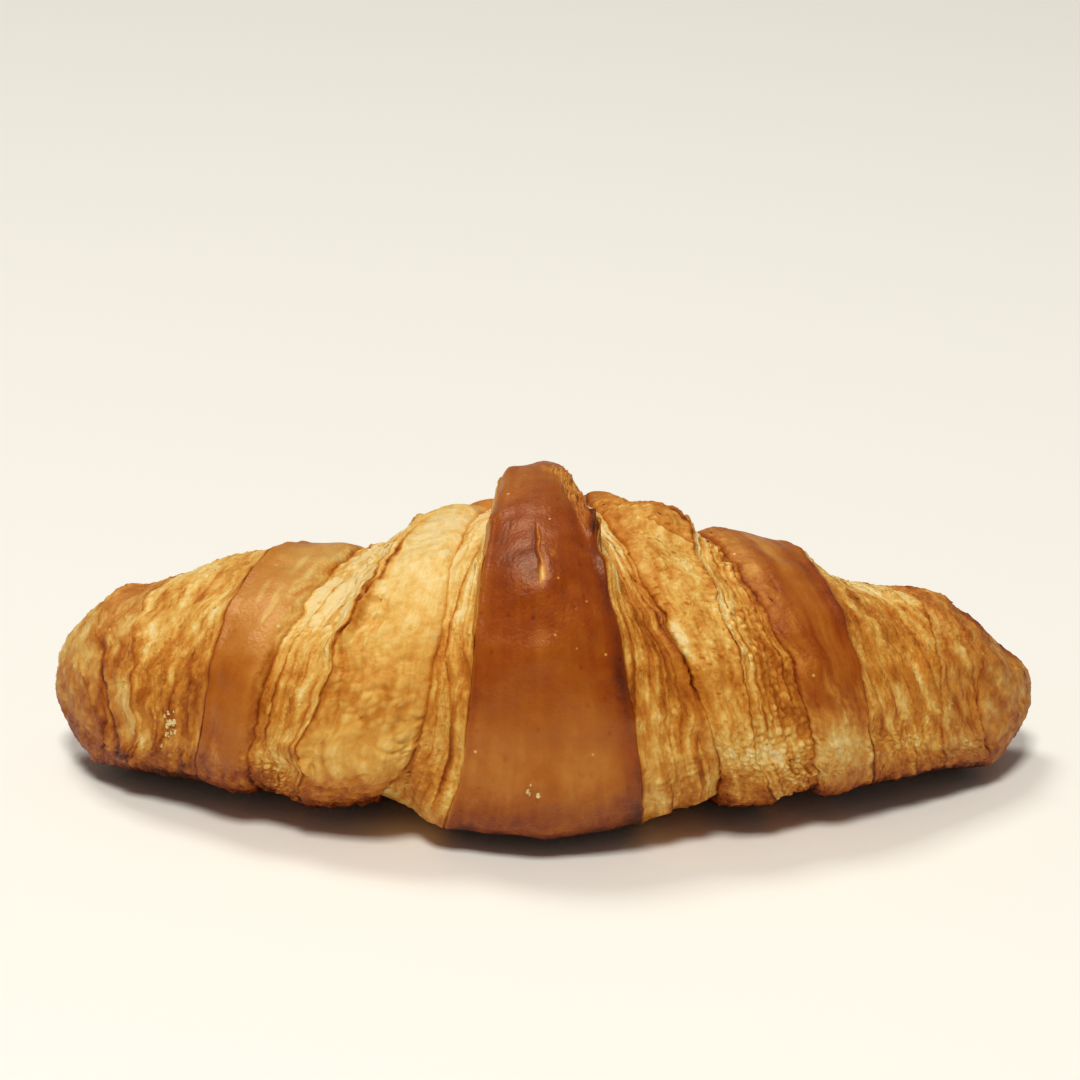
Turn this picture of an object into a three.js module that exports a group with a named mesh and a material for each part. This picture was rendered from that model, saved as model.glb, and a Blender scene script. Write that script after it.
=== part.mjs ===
// A plain butter croissant: one solid of rolled, laminated dough, baked whole.
// A triangle of dough is rolled up from its wide side, so its two cut sides run round the
// roll as spirals. Each wrap shows a band of skin, then the open cut face of its layers,
// which falls away to the next wrap out towards the tip of the croissant. The point of the
// triangle ends as a tongue that lies over the ridge.
// Millimetres, +Z up. X runs along the croissant, -Y is the side that it shows, and the
// origin is the middle of its footprint on the table.
import * as THREE from "three";

// Driving dimensions
const HALF_LENGTH = 82.2; // along the straightened roll, from the middle to a tip
const BEND = 17; // how far each tip lies behind the middle
const SET_BACK = 1.6; // puts the middle of the whole footprint on the origin
const BELLY = 0.44; // height of the widest place, as a share of the height
const ROUND = 0.94; // exponent of the upper outline, 1 for an ellipse
const BASE_SINK = 0.8; // how far the round underside is pressed flat on the tray
const HELIX = 9; // how much nearer the middle a cut edge lies at the back than in front
const TONGUE_TIP = 132; // degrees round the roll, from the front over the top
const TONGUE_TAPER = 16; // degrees over which the tongue thins out to its tip
const TIP_POINT = 1.2; // exponents of the outline of a tip: nearly a cone at first,
const TIP_BLUNT = 0.625; // then round at its end

// Relief
const SKIN_CROWN = 1.5; // how far a wrap's skin swells past the line between its edges
const END_CROWN = 0.5; // the same on the last wrap, next to the tip
const LIP = 0.7; // the skin's edge stands over the cut face
const FACE_SAG = 0.9; // a cut face lies hollow between its edges
const EDGE = 0.14; // share of a stretch over which a skin's edge rises or falls
// The layers that stand out of a cut face: how many there are and how far they wander.
const SHEETS = { height: 0.75, count: 3.5, wander: 0.8, around: 9 };
// Unevenness: its height, its cells in a stretch and its cells round the roll.
const LUMPS = { height: 0.8, along: 0.9, around: 7 }; // of the whole crust
const CRAGS = { height: 0.45, along: 4, around: 26 }; // blisters and flakes
const SKIN_CALM = 0.3; // share of the crags that the smooth skin has
const TIP_CRAG = 1.6; // share that a tip has
const RISE = 5; // height over the table at which the relief is full

// The mesh
const AROUND = 52; // faces round the roll
const STEPS = { skin: 7, face: 7, middle: 4, cap: 7 }; // columns in each stretch
const MID = { halfWidth: 37.4, height: 52.8, square: 0.62, lift: 0 };

// A ring is where one stretch of the roll ends: "skin" at a wrap's cut edge, "foot" where
// its cut face meets the next wrap. low, front and top are its distances from the middle
// low in front, in front and on top. square is the exponent of the underside, under 1 where
// the roll sits broad on the tray, and lift is how far it is held off the tray.
const ring = (low, front, top, halfWidth, height, square, lift) => ({
  low, front, top, halfWidth, height, square, lift,
});
const GIRTH = ["halfWidth", "height", "square", "lift"]; // what a section is made from
const RIGHT = [
  ring(13.7, 12.3, 6.0, 36.5, 50.6, 0.73, 0.0),
  ring(24.2, 22.6, 10.8, 33.0, 45.2, 1.0, 1.7),
  ring(33.6, 28.8, 23.5, 33.5, 44.2, 0.96, 0.0),
  ring(39.3, 37.3, 28.3, 30.0, 41.6, 1.0, 1.8),
  ring(48.2, 46.4, 42.7, 28.0, 39.2, 1.0, 1.4),
  ring(62.0, 58.9, 61.0, 21.8, 30.2, 1.0, 1.8),
  ring(71.0, 66.6, 69.0, 18.0, 27.2, 1.0, 0.6),
];
const LEFT = [
  ring(14.4, 10.5, 7.5, 36.5, 51.2, 0.73, 0.0),
  ring(24.6, 16.8, 12.5, 33.0, 45.2, 1.0, 2.6),
  ring(34.5, 32.9, 23.3, 33.0, 43.8, 0.94, 0.0),
  ring(42.8, 40.8, 34.6, 29.5, 38.2, 1.0, 1.6),
  ring(52.1, 49.0, 46.2, 27.0, 38.8, 1.0, 1.4),
  ring(64.5, 60.8, 64.0, 22.3, 31.9, 1.0, 1.4),
  ring(71.0, 66.6, 72.0, 18.3, 28.9, 1.0, 1.0),
];
// Where the tongue has ended, its two rings are only lines on the wrap below it.
const TONGUE_BACK = [2.5, 7.0];
const UNDER_TONGUE = { halfWidth: 34.2, height: 49.4, square: 0.96, lift: 0 };

// Single forms that stand out of the crust. along counts the stretches from the middle, and
// across and around are the half spans in stretches and in degrees.
const bump = (side, along, degrees, across, around, height) => ({
  side, along, degrees, across, around, height,
});
const BUMPS = [
  bump(1, 0.93, 74, 0.16, 14, 1.4), // the torn patch at the top of the tongue
  bump(1, 1.12, 55, 0.22, 5, 1.9), // the knob at the tongue's edge
  bump(1, 2.72, 97, 0.4, 11, 2.3), // the lobe with a brown rim
  bump(1, 2.2, 121, 0.35, 11, 2.0), // the lobe behind it
  bump(1, 1.93, 8, 0.16, 9, 1.5), // the curl at the foot of the first cut face
  bump(1, 1.5, 95, 0.4, 26, -1.0), // the low ridge of the first cut face
  bump(1, 5.45, 100, 0.34, 40, -2.0), // the hollow behind the right shoulder
  bump(1, 6.5, 92, 0.4, 26, 1.6), // the last knuckle before the right tip
  bump(1, 7.45, 60, 0.3, 45, -2.6), // the fall of the right tip
  bump(-1, 3.05, 48, 0.16, 20, 1.3), // the torn edge
  bump(-1, 2.62, -12, 0.42, 26, 1.4), // the blistered lobe
  bump(-1, 0.85, 95, 0.2, 22, 1.2), // the tongue's left shoulder
  bump(-1, 1.5, 95, 0.35, 26, -2.4), // the hollow beside the tongue
  bump(-1, 3.5, 100, 0.4, 34, -1.2), // the hollow before the left shoulder
  bump(-1, 4.4, 92, 0.4, 30, -0.6), // the flat of the left shoulder
  bump(-1, 5.5, 92, 0.35, 30, 1.4), // the full back of the third cut face
  bump(-1, 6.87, 92, 0.2, 24, 1.1), // the knuckle over the left tip
];

const clamp = (x, low, high) => Math.min(high, Math.max(low, x));
const mix = (a, b, t) => a + (b - a) * t;
const ease = (low, high, x) => {
  const t = clamp((x - low) / (high - low), 0, 1);
  return t * t * (3 - 2 * t);
};
const radians = (degrees) => (degrees * Math.PI) / 180;

// Value noise from 0 to 1 that repeats round the roll after `period` cells.
function speck(i, j, seed) {
  const s = Math.sin(i * 127.1 + j * 311.7 + seed * 74.7) * 43758.5453;
  return s - Math.floor(s);
}
function noise(u, degrees, period, seed) {
  const v = (degrees / 360) * period;
  const i = Math.floor(u);
  const j = Math.floor(v);
  const around = (n) => ((n % period) + period) % period;
  const at = (di, dj) => speck(i + di, around(j + dj), seed);
  const fu = ease(0, 1, u - i);
  const fv = ease(0, 1, v - j);
  return mix(mix(at(0, 0), at(1, 0), fu), mix(at(0, 1), at(1, 1), fu), fv);
}

// A ring's distance from the middle at an angle round the roll: a smooth closed curve
// through its places low in front, in front, on top, at the back and low at the back.
const KNOTS = [-120, -60, 0, 90, 180, 240, 300, 360];
function ringAt(places, degrees) {
  const [low, front, top, back, lowBack] = places;
  const values = [lowBack, low, front, top, back, lowBack, low, front];
  const slope = (n) => (values[n + 1] - values[n - 1]) / (KNOTS[n + 1] - KNOTS[n - 1]);
  const angle = ((((degrees + 60) % 360) + 360) % 360) - 60;
  let n = 1;
  while (angle >= KNOTS[n + 1] && n < 5) n += 1;
  const width = KNOTS[n + 1] - KNOTS[n];
  const f = (angle - KNOTS[n]) / width;
  return (
    (1 + 2 * f) * (1 - f) ** 2 * values[n] +
    f * (1 - f) ** 2 * width * slope(n) +
    f * f * (3 - 2 * f) * values[n + 1] +
    f * f * (f - 1) * width * slope(n + 1)
  );
}

// How much of the tongue there is at an angle: 1 over the front and the ridge, 0 behind.
const tongueAt = (degrees) =>
  degrees < -75 ? ease(-105, -75, degrees) : 1 - ease(TONGUE_TIP - TONGUE_TAPER, TONGUE_TIP, degrees);

// The rings of one side at an angle, from the middle outwards.
function ringsAt(table, degrees) {
  const tongue = tongueAt(degrees);
  const blend = (r, share) =>
    Object.fromEntries(GIRTH.map((key) => [key, mix(UNDER_TONGUE[key], r[key], share)]));
  const middle = { x: 0, ...blend(MID, tongue) };
  const rest = table.map((r, n) => {
    const back = n < 2 ? TONGUE_BACK[n] : r.front - HELIX;
    const lowBack = n < 2 ? TONGUE_BACK[n] + 6 * (n + 1) : r.low - HELIX;
    return {
      x: ringAt([r.low, r.front, r.top, back, lowBack], degrees),
      ...blend(r, n < 2 ? tongue : 1),
    };
  });
  return [middle, ...rest];
}

// A point of the straight roll's section: y is its depth and z its height.
function section(degrees, r) {
  const c = Math.cos(radians(degrees));
  const s = Math.sin(radians(degrees));
  const centre = r.lift + BELLY * (r.height - r.lift);
  const power = s >= 0 ? ROUND : r.square;
  const y = -r.halfWidth * Math.sign(c) * Math.abs(c) ** power;
  const reach = s >= 0 ? r.height - centre : -(centre - r.lift + BASE_SINK);
  return [y, centre + reach * Math.abs(s) ** power, centre];
}

// Bends the straight roll in plan, so that both tips lie behind the middle.
function bend(x, y, z) {
  const t = x / HALF_LENGTH;
  const slope = (2 * BEND * t) / HALF_LENGTH;
  const n = Math.hypot(1, slope);
  return new THREE.Vector3(x - (y * slope) / n, SET_BACK + BEND * t * t + y / n, z);
}

function bumpsAt(side, along, degrees) {
  let height = 0;
  for (const b of BUMPS) {
    const u = (along - b.along) / b.across;
    const v = (degrees - b.degrees) / b.around;
    if (b.side === side) height += b.height * Math.exp(-u * u - v * v);
  }
  return height;
}

// How far the crust stands out of the smooth form, at a share f of stretch n of one side.
function relief(side, n, f, degrees) {
  const seed = side > 0 ? 11 : 37;
  const along = n + f;
  const tongue = n < 2 ? tongueAt(degrees) : 1;
  const uneven = (kind, offset) =>
    kind.height * (2 * noise(along * kind.along, degrees, kind.around, seed + offset) - 1);
  const slow = uneven(LUMPS, 0);
  const fine = uneven(CRAGS, 1);
  const single = bumpsAt(side, along, degrees);
  const isFace = n % 2 === 1 && n < 7;
  if (isFace) {
    const wander = SHEETS.wander * noise(along, degrees, SHEETS.around, seed + 2);
    const sheets = SHEETS.height * Math.cos(2 * Math.PI * (SHEETS.count * f + wander));
    const open = Math.sin(Math.PI * f) ** 0.5;
    const lip = LIP * (1 - ease(0, EDGE, f));
    return slow + fine + single + tongue * (lip + open * (sheets - FACE_SAG));
  }
  if (n === 7) return (slow + single) * (1 - f) + fine * TIP_CRAG * (1 - f * f);
  const swell = n === 0 ? 1 - f * f : Math.sin(Math.PI * f ** 0.6);
  const lip = LIP * ease(1 - EDGE, 1, f);
  const crown = n === 6 ? END_CROWN : SKIN_CROWN;
  return slow + SKIN_CALM * fine + single + tongue * lip + crown * swell * (n === 0 ? tongue : 1);
}

// Columns of one side, each a list of points round the roll, from the middle to the tip.
function columnsOf(table, side) {
  const angles = Array.from({ length: AROUND }, (_, j) => -90 + (360 * j) / AROUND);
  const rings = angles.map((degrees) => ringsAt(table, degrees));
  const columns = [];
  for (let n = 0; n <= table.length; n += 1) {
    const isCap = n === table.length;
    const steps = isCap ? STEPS.cap : n === 0 ? STEPS.middle : n % 2 ? STEPS.face : STEPS.skin;
    for (let k = 0; k < steps; k += 1) {
      const f = k / steps;
      columns.push({ n, f, points: angles.map((degrees, j) => {
        const from = rings[j][n];
        const to = isCap ? from : rings[j][n + 1];
        const girth = Object.fromEntries(GIRTH.map((key) => [key, mix(from[key], to[key], f)]));
        const [y, z, centre] = section(degrees, girth);
        const reach = 1 - (1 - f) ** 2;
        const close = isCap ? (1 - reach ** TIP_POINT) ** TIP_BLUNT : 1;
        const x = isCap ? mix(from.x, HALF_LENGTH, reach) : mix(from.x, to.x, f);
        return bend(side * x, y * close, centre + (z - centre) * close);
      }) });
    }
  }
  const end = table[table.length - 1];
  const tip = bend(side * HALF_LENGTH, 0, end.lift + BELLY * (end.height - end.lift));
  return { columns, angles, tip };
}

// Moves each point out along the surface's own normal by the relief, and rests it on z = 0.
function dress(columns, angles, side, tip) {
  const point = (i, j) =>
    i >= columns.length ? tip : columns[Math.max(i, 0)].points[(j + angles.length) % angles.length];
  return columns.map(({ n, f }, i) =>
    angles.map((degrees, j) => {
      const along = point(i + 1, j).clone().sub(point(i - 1, j)).multiplyScalar(side);
      const round = point(i, j + 1).clone().sub(point(i, j - 1));
      const normal = along.cross(round).normalize();
      const here = point(i, j);
      const amount = relief(side, n, f, degrees) * ease(0, RISE, here.z);
      const moved = here.clone().addScaledVector(normal, amount);
      moved.z = Math.max(0, moved.z);
      return moved;
    }),
  );
}

// One closed skin over both sides, whose middle columns are shared.
function crust() {
  const right = columnsOf(RIGHT, 1);
  const left = columnsOf(LEFT, -1);
  const rightRows = dress(right.columns, right.angles, 1, right.tip);
  const leftRows = dress(left.columns, left.angles, -1, left.tip);
  const rows = [...leftRows.slice(1).reverse(), ...rightRows];
  const positions = rows.flat().flatMap((p) => p.toArray());
  const tips = [positions.length / 3, positions.length / 3 + 1];
  positions.push(...left.tip.toArray(), ...right.tip.toArray());
  const index = [];
  const at = (i, j) => i * AROUND + (j % AROUND);
  for (let i = 0; i + 1 < rows.length; i += 1) {
    for (let j = 0; j < AROUND; j += 1) {
      index.push(at(i, j), at(i + 1, j), at(i + 1, j + 1), at(i, j), at(i + 1, j + 1), at(i, j + 1));
    }
  }
  for (let j = 0; j < AROUND; j += 1) {
    index.push(tips[0], at(0, j), at(0, j + 1));
    index.push(tips[1], at(rows.length - 1, j + 1), at(rows.length - 1, j));
  }
  const geometry = new THREE.BufferGeometry();
  geometry.setAttribute("position", new THREE.Float32BufferAttribute(positions, 3));
  geometry.setIndex(index);
  geometry.computeVertexNormals();
  return geometry;
}

const baked = new THREE.MeshStandardMaterial({ color: 0xc98a3f, roughness: 0.55, metalness: 0 });
const croissant = new THREE.Mesh(crust(), baked);
croissant.name = "croissant";

const part = new THREE.Group();
part.add(croissant);
export default part;
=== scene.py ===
import logging
import math
from dataclasses import dataclass, field, replace
from enum import Enum

import bpy
import numpy as np
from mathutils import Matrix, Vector


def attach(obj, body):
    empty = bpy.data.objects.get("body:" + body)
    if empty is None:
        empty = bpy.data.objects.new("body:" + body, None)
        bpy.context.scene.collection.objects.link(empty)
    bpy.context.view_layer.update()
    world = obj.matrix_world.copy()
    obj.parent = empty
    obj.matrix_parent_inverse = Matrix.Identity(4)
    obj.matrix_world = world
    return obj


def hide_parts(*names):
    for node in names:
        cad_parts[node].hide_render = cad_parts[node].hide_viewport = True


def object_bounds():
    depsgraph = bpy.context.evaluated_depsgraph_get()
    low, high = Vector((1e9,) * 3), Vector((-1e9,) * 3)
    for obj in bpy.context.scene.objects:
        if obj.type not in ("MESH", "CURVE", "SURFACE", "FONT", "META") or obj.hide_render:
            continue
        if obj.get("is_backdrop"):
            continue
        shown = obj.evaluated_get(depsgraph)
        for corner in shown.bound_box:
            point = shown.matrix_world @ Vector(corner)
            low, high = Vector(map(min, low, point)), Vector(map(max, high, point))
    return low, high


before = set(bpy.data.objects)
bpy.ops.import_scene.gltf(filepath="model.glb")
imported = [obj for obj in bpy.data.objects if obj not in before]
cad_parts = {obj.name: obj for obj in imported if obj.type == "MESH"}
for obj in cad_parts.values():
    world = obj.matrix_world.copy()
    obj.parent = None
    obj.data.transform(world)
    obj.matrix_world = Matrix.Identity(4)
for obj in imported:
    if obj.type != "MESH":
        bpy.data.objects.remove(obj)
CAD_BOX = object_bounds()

log = logging.getLogger("croissant")

Array = np.ndarray
MM = 0.001  # the sizes below are millimetres, and the scene is in metres
BODY = "root"
CAD_NODE = "croissant"
BAKE, GLAZE, FLOW = "bake", "glaze", "flow"  # mesh attributes that the finishes read; bake holds the browning with painted shade and highlights
TAKE, DUST, LAY = "take", "dust", "lay"  # where scraps and crumbs may lie, and which way they run
LAST = 7  # the stretch that ends in the tip


class Half(Enum):
    """The two halves of the roll, as the side that is shown is seen."""

    LEFT = -1
    RIGHT = 1


class Slot(Enum):
    """Finish slots of the pieces."""

    CRUST = "crust"
    LAYERS = "layers"


# Plain number helpers


def clamp(x: Array, low: float = 0.0, high: float = 1.0) -> Array:
    """Keeps values between two limits."""
    return np.clip(x, low, high)


def mix(a: Array, b: Array, t: Array) -> Array:
    """Blends from a to b."""
    return a + (b - a) * t


def ease(low: float, high: float, x: Array) -> Array:
    """A smooth step from 0 at low to 1 at high."""
    t = clamp((x - low) / (high - low))
    return t * t * (3 - 2 * t)


def hump(x: Array, middle: float, reach: float) -> Array:
    """A bell of height 1 round a middle."""
    return np.exp(-(((x - middle) / reach) ** 2))


@dataclass(frozen=True)
class Grain:
    """Seeded noise in space, for relief and browning.

    Its lattice is turned out of the axes, so that no row of cells follows an edge of the crust.
    """

    seed: int

    TURN = np.array([[0.844, -0.2931, 0.4491], [0.4491, 0.844, -0.2931], [-0.2931, 0.4491, 0.844]])
    STRIDES = (374761393, 668265263, 2147483647)  # large odd numbers that scatter the three axes
    TURNS, SEED_STRIDE = 31, 974634777
    STIRS = ((13, 1274126177), (16, 2246822519))  # shifts, and the factors after them
    LAST_SHIFT = 15
    WORD, KEPT = 0xFFFFFFFF, 0xFFFFFF  # the bits that are worked on and the bits that are kept
    FINER, FAINTER, APART = 2.03, 0.55, 19.7  # from one octave to the next
    CLOUD_SPAN = 1.4
    FAR = 9.0  # more than any distance to a seed, in cells

    def _hash(self, cells: Array, turn: int) -> Array:
        """Gives each whole cell a repeatable number from 0 to 1.

        Args:
            cells: whole cell numbers, shape (..., 3).
            turn: which of several independent numbers is wanted.

        Returns:
            Numbers from 0 to 1, shape (...).
        """
        whole = cells.astype(np.int64)
        h = sum(whole[..., axis] * stride for axis, stride in enumerate(self.STRIDES))
        h = (h + (self.seed * self.TURNS + turn) * self.SEED_STRIDE) & self.WORD
        for shift, factor in self.STIRS:
            h = ((h ^ (h >> shift)) * factor) & self.WORD
        return ((h ^ (h >> self.LAST_SHIFT)) & self.KEPT) / self.KEPT

    def soft(self, at: Array) -> Array:
        """Smooth value noise from -1 to 1.

        Args:
            at: places in cells, shape (..., 3).

        Returns:
            One number for each place.
        """
        at = at @ self.TURN
        base = np.floor(at)
        f = at - base
        f = f * f * (3 - 2 * f)
        total = np.zeros(at.shape[:-1])
        for corner in range(8):
            step = np.array([(corner >> k) & 1 for k in range(3)])
            weight = np.prod(np.where(step, f, 1 - f), axis=-1)
            total += weight * self._hash(base + step, 0)
        return 2 * total - 1

    def cloud(self, at: Array, octaves: int = 3) -> Array:
        """Several octaves of soft noise, about -1 to 1.

        Args:
            at: places in cells of the broadest octave, shape (..., 3).
            octaves: how many, each about half as broad as the last.

        Returns:
            One number for each place.
        """
        total = np.zeros(at.shape[:-1])
        for k in range(octaves):
            total += self.soft(at * self.FINER**k + self.APART * k) * self.FAINTER**k
        return total / sum(self.FAINTER**k for k in range(octaves)) * self.CLOUD_SPAN

    def cells(self, along: Array, share: Array, count: int) -> tuple[Array, Array, Array]:
        """Scattered cells over the unrolled crust, closed round the roll.

        Args:
            along: places along the roll, in cells.
            share: places round the roll, from 0 to 1.
            count: whole cells once round.

        Returns:
            Distance to the nearest seed, how much further the next one is, and each cell's own number.
        """
        u, v = np.broadcast_arrays(along, share * count)
        first, second = np.full(u.shape, self.FAR), np.full(u.shape, self.FAR)
        mark = np.zeros(u.shape)
        for corner in range(9):
            cell_u, cell_v = np.floor(u) + corner % 3 - 1, np.floor(v) + corner // 3 - 1
            key = np.stack([cell_u, np.mod(cell_v, count), np.zeros(u.shape)], -1)
            far = np.hypot(cell_u + self._hash(key, 1) - u, cell_v + self._hash(key, 2) - v)
            nearer = far < first
            second = np.where(nearer, first, np.minimum(second, far))
            mark = np.where(nearer, self._hash(key, 3), mark)
            first = np.where(nearer, far, first)
        return first, second - first, mark


# The form of the roll


@dataclass(frozen=True)
class Ring:
    """A line round the roll where a stretch ends.

    low, front and top are its distances from the middle low in front, in front and on top.
    square is the exponent of the underside, and lift is how far it is held off the tray.
    """

    low: float
    front: float
    top: float
    half_width: float
    height: float
    square: float
    lift: float
    ragged: float = 0.3  # how far the line wanders, in the finish only


@dataclass(frozen=True)
class Bump:
    """A single form that stands out of the crust, placed by stretches and degrees."""

    half: Half
    along: float
    degrees: float
    across: float  # its reach, in stretches
    around: float  # its reach, in degrees
    height: float  # mm


@dataclass(frozen=True)
class Roll:
    """The whole roll's form, in millimetres: what every stretch is cut from."""

    half_length: float = 82.2
    bend: float = 17.0  # how far back the tips lie
    set_back: float = 1.6
    belly: float = 0.44  # share of the height at which the roll is widest
    round: float = 0.94  # exponent of the upper side
    base_sink: float = 0.8  # how far the underside is drawn past the tray and cut flat
    helix: float = 9.0  # how much nearer to the middle the wraps run behind
    tongue_tip: float = 132.0  # degrees
    tongue_taper: float = 9.0  # degrees
    tip_point: float = 1.2  # exponents of the tip's outline
    tip_blunt: float = 0.625
    rise: float = 5.0  # height over the tray at which the relief is whole
    middle: Ring = Ring(0, 0, 0, 37.4, 52.8, 0.62, 0.0)
    under_tongue: Ring = Ring(0, 0, 0, 34.2, 49.4, 0.96, 0.0)
    tongue_back: tuple[float, float] = (2.5, 7.0)
    right: tuple[Ring, ...] = (
        Ring(13.7, 12.3, 6.0, 36.5, 50.6, 0.73, 0.0, 0.2),
        Ring(24.2, 22.6, 10.8, 33.0, 45.2, 1.0, 1.7, 0.9),
        Ring(33.6, 28.8, 23.5, 33.5, 44.2, 0.96, 0.0, 0.9),
        Ring(39.3, 37.3, 28.3, 30.0, 41.6, 1.0, 1.8, 1.0),
        Ring(48.2, 46.4, 42.7, 28.0, 39.2, 1.0, 1.4, 0.35),
        Ring(62.0, 58.9, 61.0, 21.8, 30.2, 1.0, 1.8, 0.9),
        Ring(71.0, 66.6, 69.0, 18.0, 27.2, 1.0, 0.6, 0.8),
    )
    left: tuple[Ring, ...] = (
        Ring(14.4, 10.5, 7.5, 36.5, 51.2, 0.73, 0.0, 0.2),
        Ring(24.6, 16.8, 12.5, 33.0, 45.2, 1.0, 2.6, 0.5),
        Ring(34.5, 32.9, 23.3, 33.0, 43.8, 0.94, 0.0, 1.3),
        Ring(42.8, 40.8, 34.6, 29.5, 38.2, 1.0, 1.6, 0.8),
        Ring(52.1, 49.0, 46.2, 27.0, 38.8, 1.0, 1.4, 0.35),
        Ring(64.5, 60.8, 64.0, 22.3, 31.9, 1.0, 1.4, 0.7),
        Ring(71.0, 66.6, 72.0, 18.3, 28.9, 1.0, 1.0, 0.7),
    )
    bumps: tuple[Bump, ...] = (
        Bump(Half.RIGHT, 0.93, 74, 0.16, 14, 1.4),
        Bump(Half.RIGHT, 0.92, 71, 0.1, 4.0, 2.4),
        Bump(Half.RIGHT, 1.12, 55, 0.22, 5, 1.9),
        Bump(Half.RIGHT, 2.72, 97, 0.4, 11, 2.3),
        Bump(Half.RIGHT, 2.2, 121, 0.35, 11, 2.0),
        Bump(Half.RIGHT, 1.93, 8, 0.16, 9, 1.5),
        Bump(Half.RIGHT, 1.3, -36, 0.16, 15, 1.2),
        Bump(Half.RIGHT, 1.72, -34, 0.2, 17, 1.7),
        Bump(Half.RIGHT, 1.5, 95, 0.4, 26, -1.0),
        Bump(Half.RIGHT, 5.45, 100, 0.34, 40, -2.0),
        Bump(Half.RIGHT, 6.5, 92, 0.4, 26, 1.6),
        Bump(Half.RIGHT, 7.45, 60, 0.3, 45, -2.6),
        Bump(Half.LEFT, 1.22, -36, 0.24, 17, 1.6),
        Bump(Half.LEFT, 3.05, 48, 0.16, 20, 1.3),
        Bump(Half.LEFT, 2.62, -12, 0.42, 26, 1.4),
        Bump(Half.LEFT, 0.85, 95, 0.2, 22, 1.2),
        Bump(Half.LEFT, 1.5, 95, 0.35, 26, -2.4),
        Bump(Half.LEFT, 3.5, 100, 0.4, 34, -1.2),
        Bump(Half.LEFT, 4.4, 92, 0.4, 30, -0.6),
        Bump(Half.LEFT, 5.5, 92, 0.35, 30, 1.4),
        Bump(Half.LEFT, 6.87, 92, 0.2, 24, 1.1),
    )

    TONGUE_FOOT = (-105.0, -75.0)  # degrees, under the roll
    KNOTS = np.array([-120.0, -60, 0, 90, 180, 240, 300, 360])  # degrees
    LOW_BACK_STEP = 6.0  # how much further out each line runs low behind, beside the tongue
    WANDER_SEED = 60
    WANDER_STEP, WANDER_ROUND = 7.3, 5.5  # noise cells between lines, and in a line's radius
    LAST_SHARE = 0.97  # the furthest place in a stretch that is asked for

    def rings(self, half: Half) -> tuple[Ring, ...]:
        """The rings of one half, from the middle outwards."""
        return self.right if half is Half.RIGHT else self.left

    def reach(self, half: Half, n: int) -> float:
        """How far from the middle a stretch starts, in front."""
        fronts = (0.0, *(ring.front for ring in self.rings(half)), self.half_length)
        return fronts[n]

    def tongue(self, degrees: Array) -> Array:
        """How much of the tongue there is at an angle.

        Args:
            degrees: angles round the roll.

        Returns:
            1 over the front and the ridge, and 0 behind.
        """
        low = ease(*self.TONGUE_FOOT, degrees)
        high = 1 - ease(self.tongue_tip - self.tongue_taper, self.tongue_tip, degrees)
        return np.where(degrees < self.TONGUE_FOOT[1], low, high)

    def _round_curve(self, places: tuple[float, ...], degrees: Array) -> Array:
        """A closed smooth curve through five places round the roll.

        Args:
            places: values low in front, in front, on top, at the back and low at the back.
            degrees: angles round the roll.

        Returns:
            The curve's value at each angle.
        """
        low, front, top, back, low_back = places
        knots = self.KNOTS
        values = np.array([low_back, low, front, top, back, low_back, low, front])
        slopes = (values[2:] - values[:-2]) / (knots[2:] - knots[:-2])
        angle = np.mod(degrees + 60, 360) - 60
        n = clamp(np.searchsorted(knots, angle, side="right") - 1, 1, 5)
        width = knots[n + 1] - knots[n]
        f = (angle - knots[n]) / width
        return (
            (1 + 2 * f) * (1 - f) ** 2 * values[n]
            + f * (1 - f) ** 2 * width * slopes[n - 1]
            + f * f * (3 - 2 * f) * values[n + 1]
            + f * f * (f - 1) * width * slopes[n]
        )

    def line(self, half: Half, n: int, degrees: Array) -> dict[str, Array]:
        """Where the ring before stretch n runs, and the section's sizes on it.

        Args:
            half: which half of the roll.
            n: the stretch, 0 at the middle.
            degrees: angles round the roll.

        Returns:
            x, half_width, height, square and lift at each angle.
        """
        tongue = self.tongue(degrees)
        ring = self.middle if n == 0 else self.rings(half)[n - 1]
        share = tongue if n <= 2 else np.ones_like(tongue)
        sizes = {
            key: mix(getattr(self.under_tongue, key), getattr(ring, key), share)
            for key in ("half_width", "height", "square", "lift")
        }
        if n == 0:
            return {"x": np.zeros_like(degrees), **sizes}
        back = self.tongue_back[n - 1] if n <= 2 else ring.front - self.helix
        low_back = self.tongue_back[n - 1] + self.LOW_BACK_STEP * n if n <= 2 else ring.low - self.helix
        x = self._round_curve((ring.low, ring.front, ring.top, back, low_back), degrees)
        turn = np.radians(degrees)
        circle = self.WANDER_ROUND * np.stack([np.cos(turn), np.sin(turn)], -1)
        spot = np.concatenate([np.full((*turn.shape, 1), self.WANDER_STEP * n), circle], -1)
        wander = Grain(self.WANDER_SEED + n * half.value).cloud(spot, 4) * ring.ragged
        return {"x": x + wander, **sizes}

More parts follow.
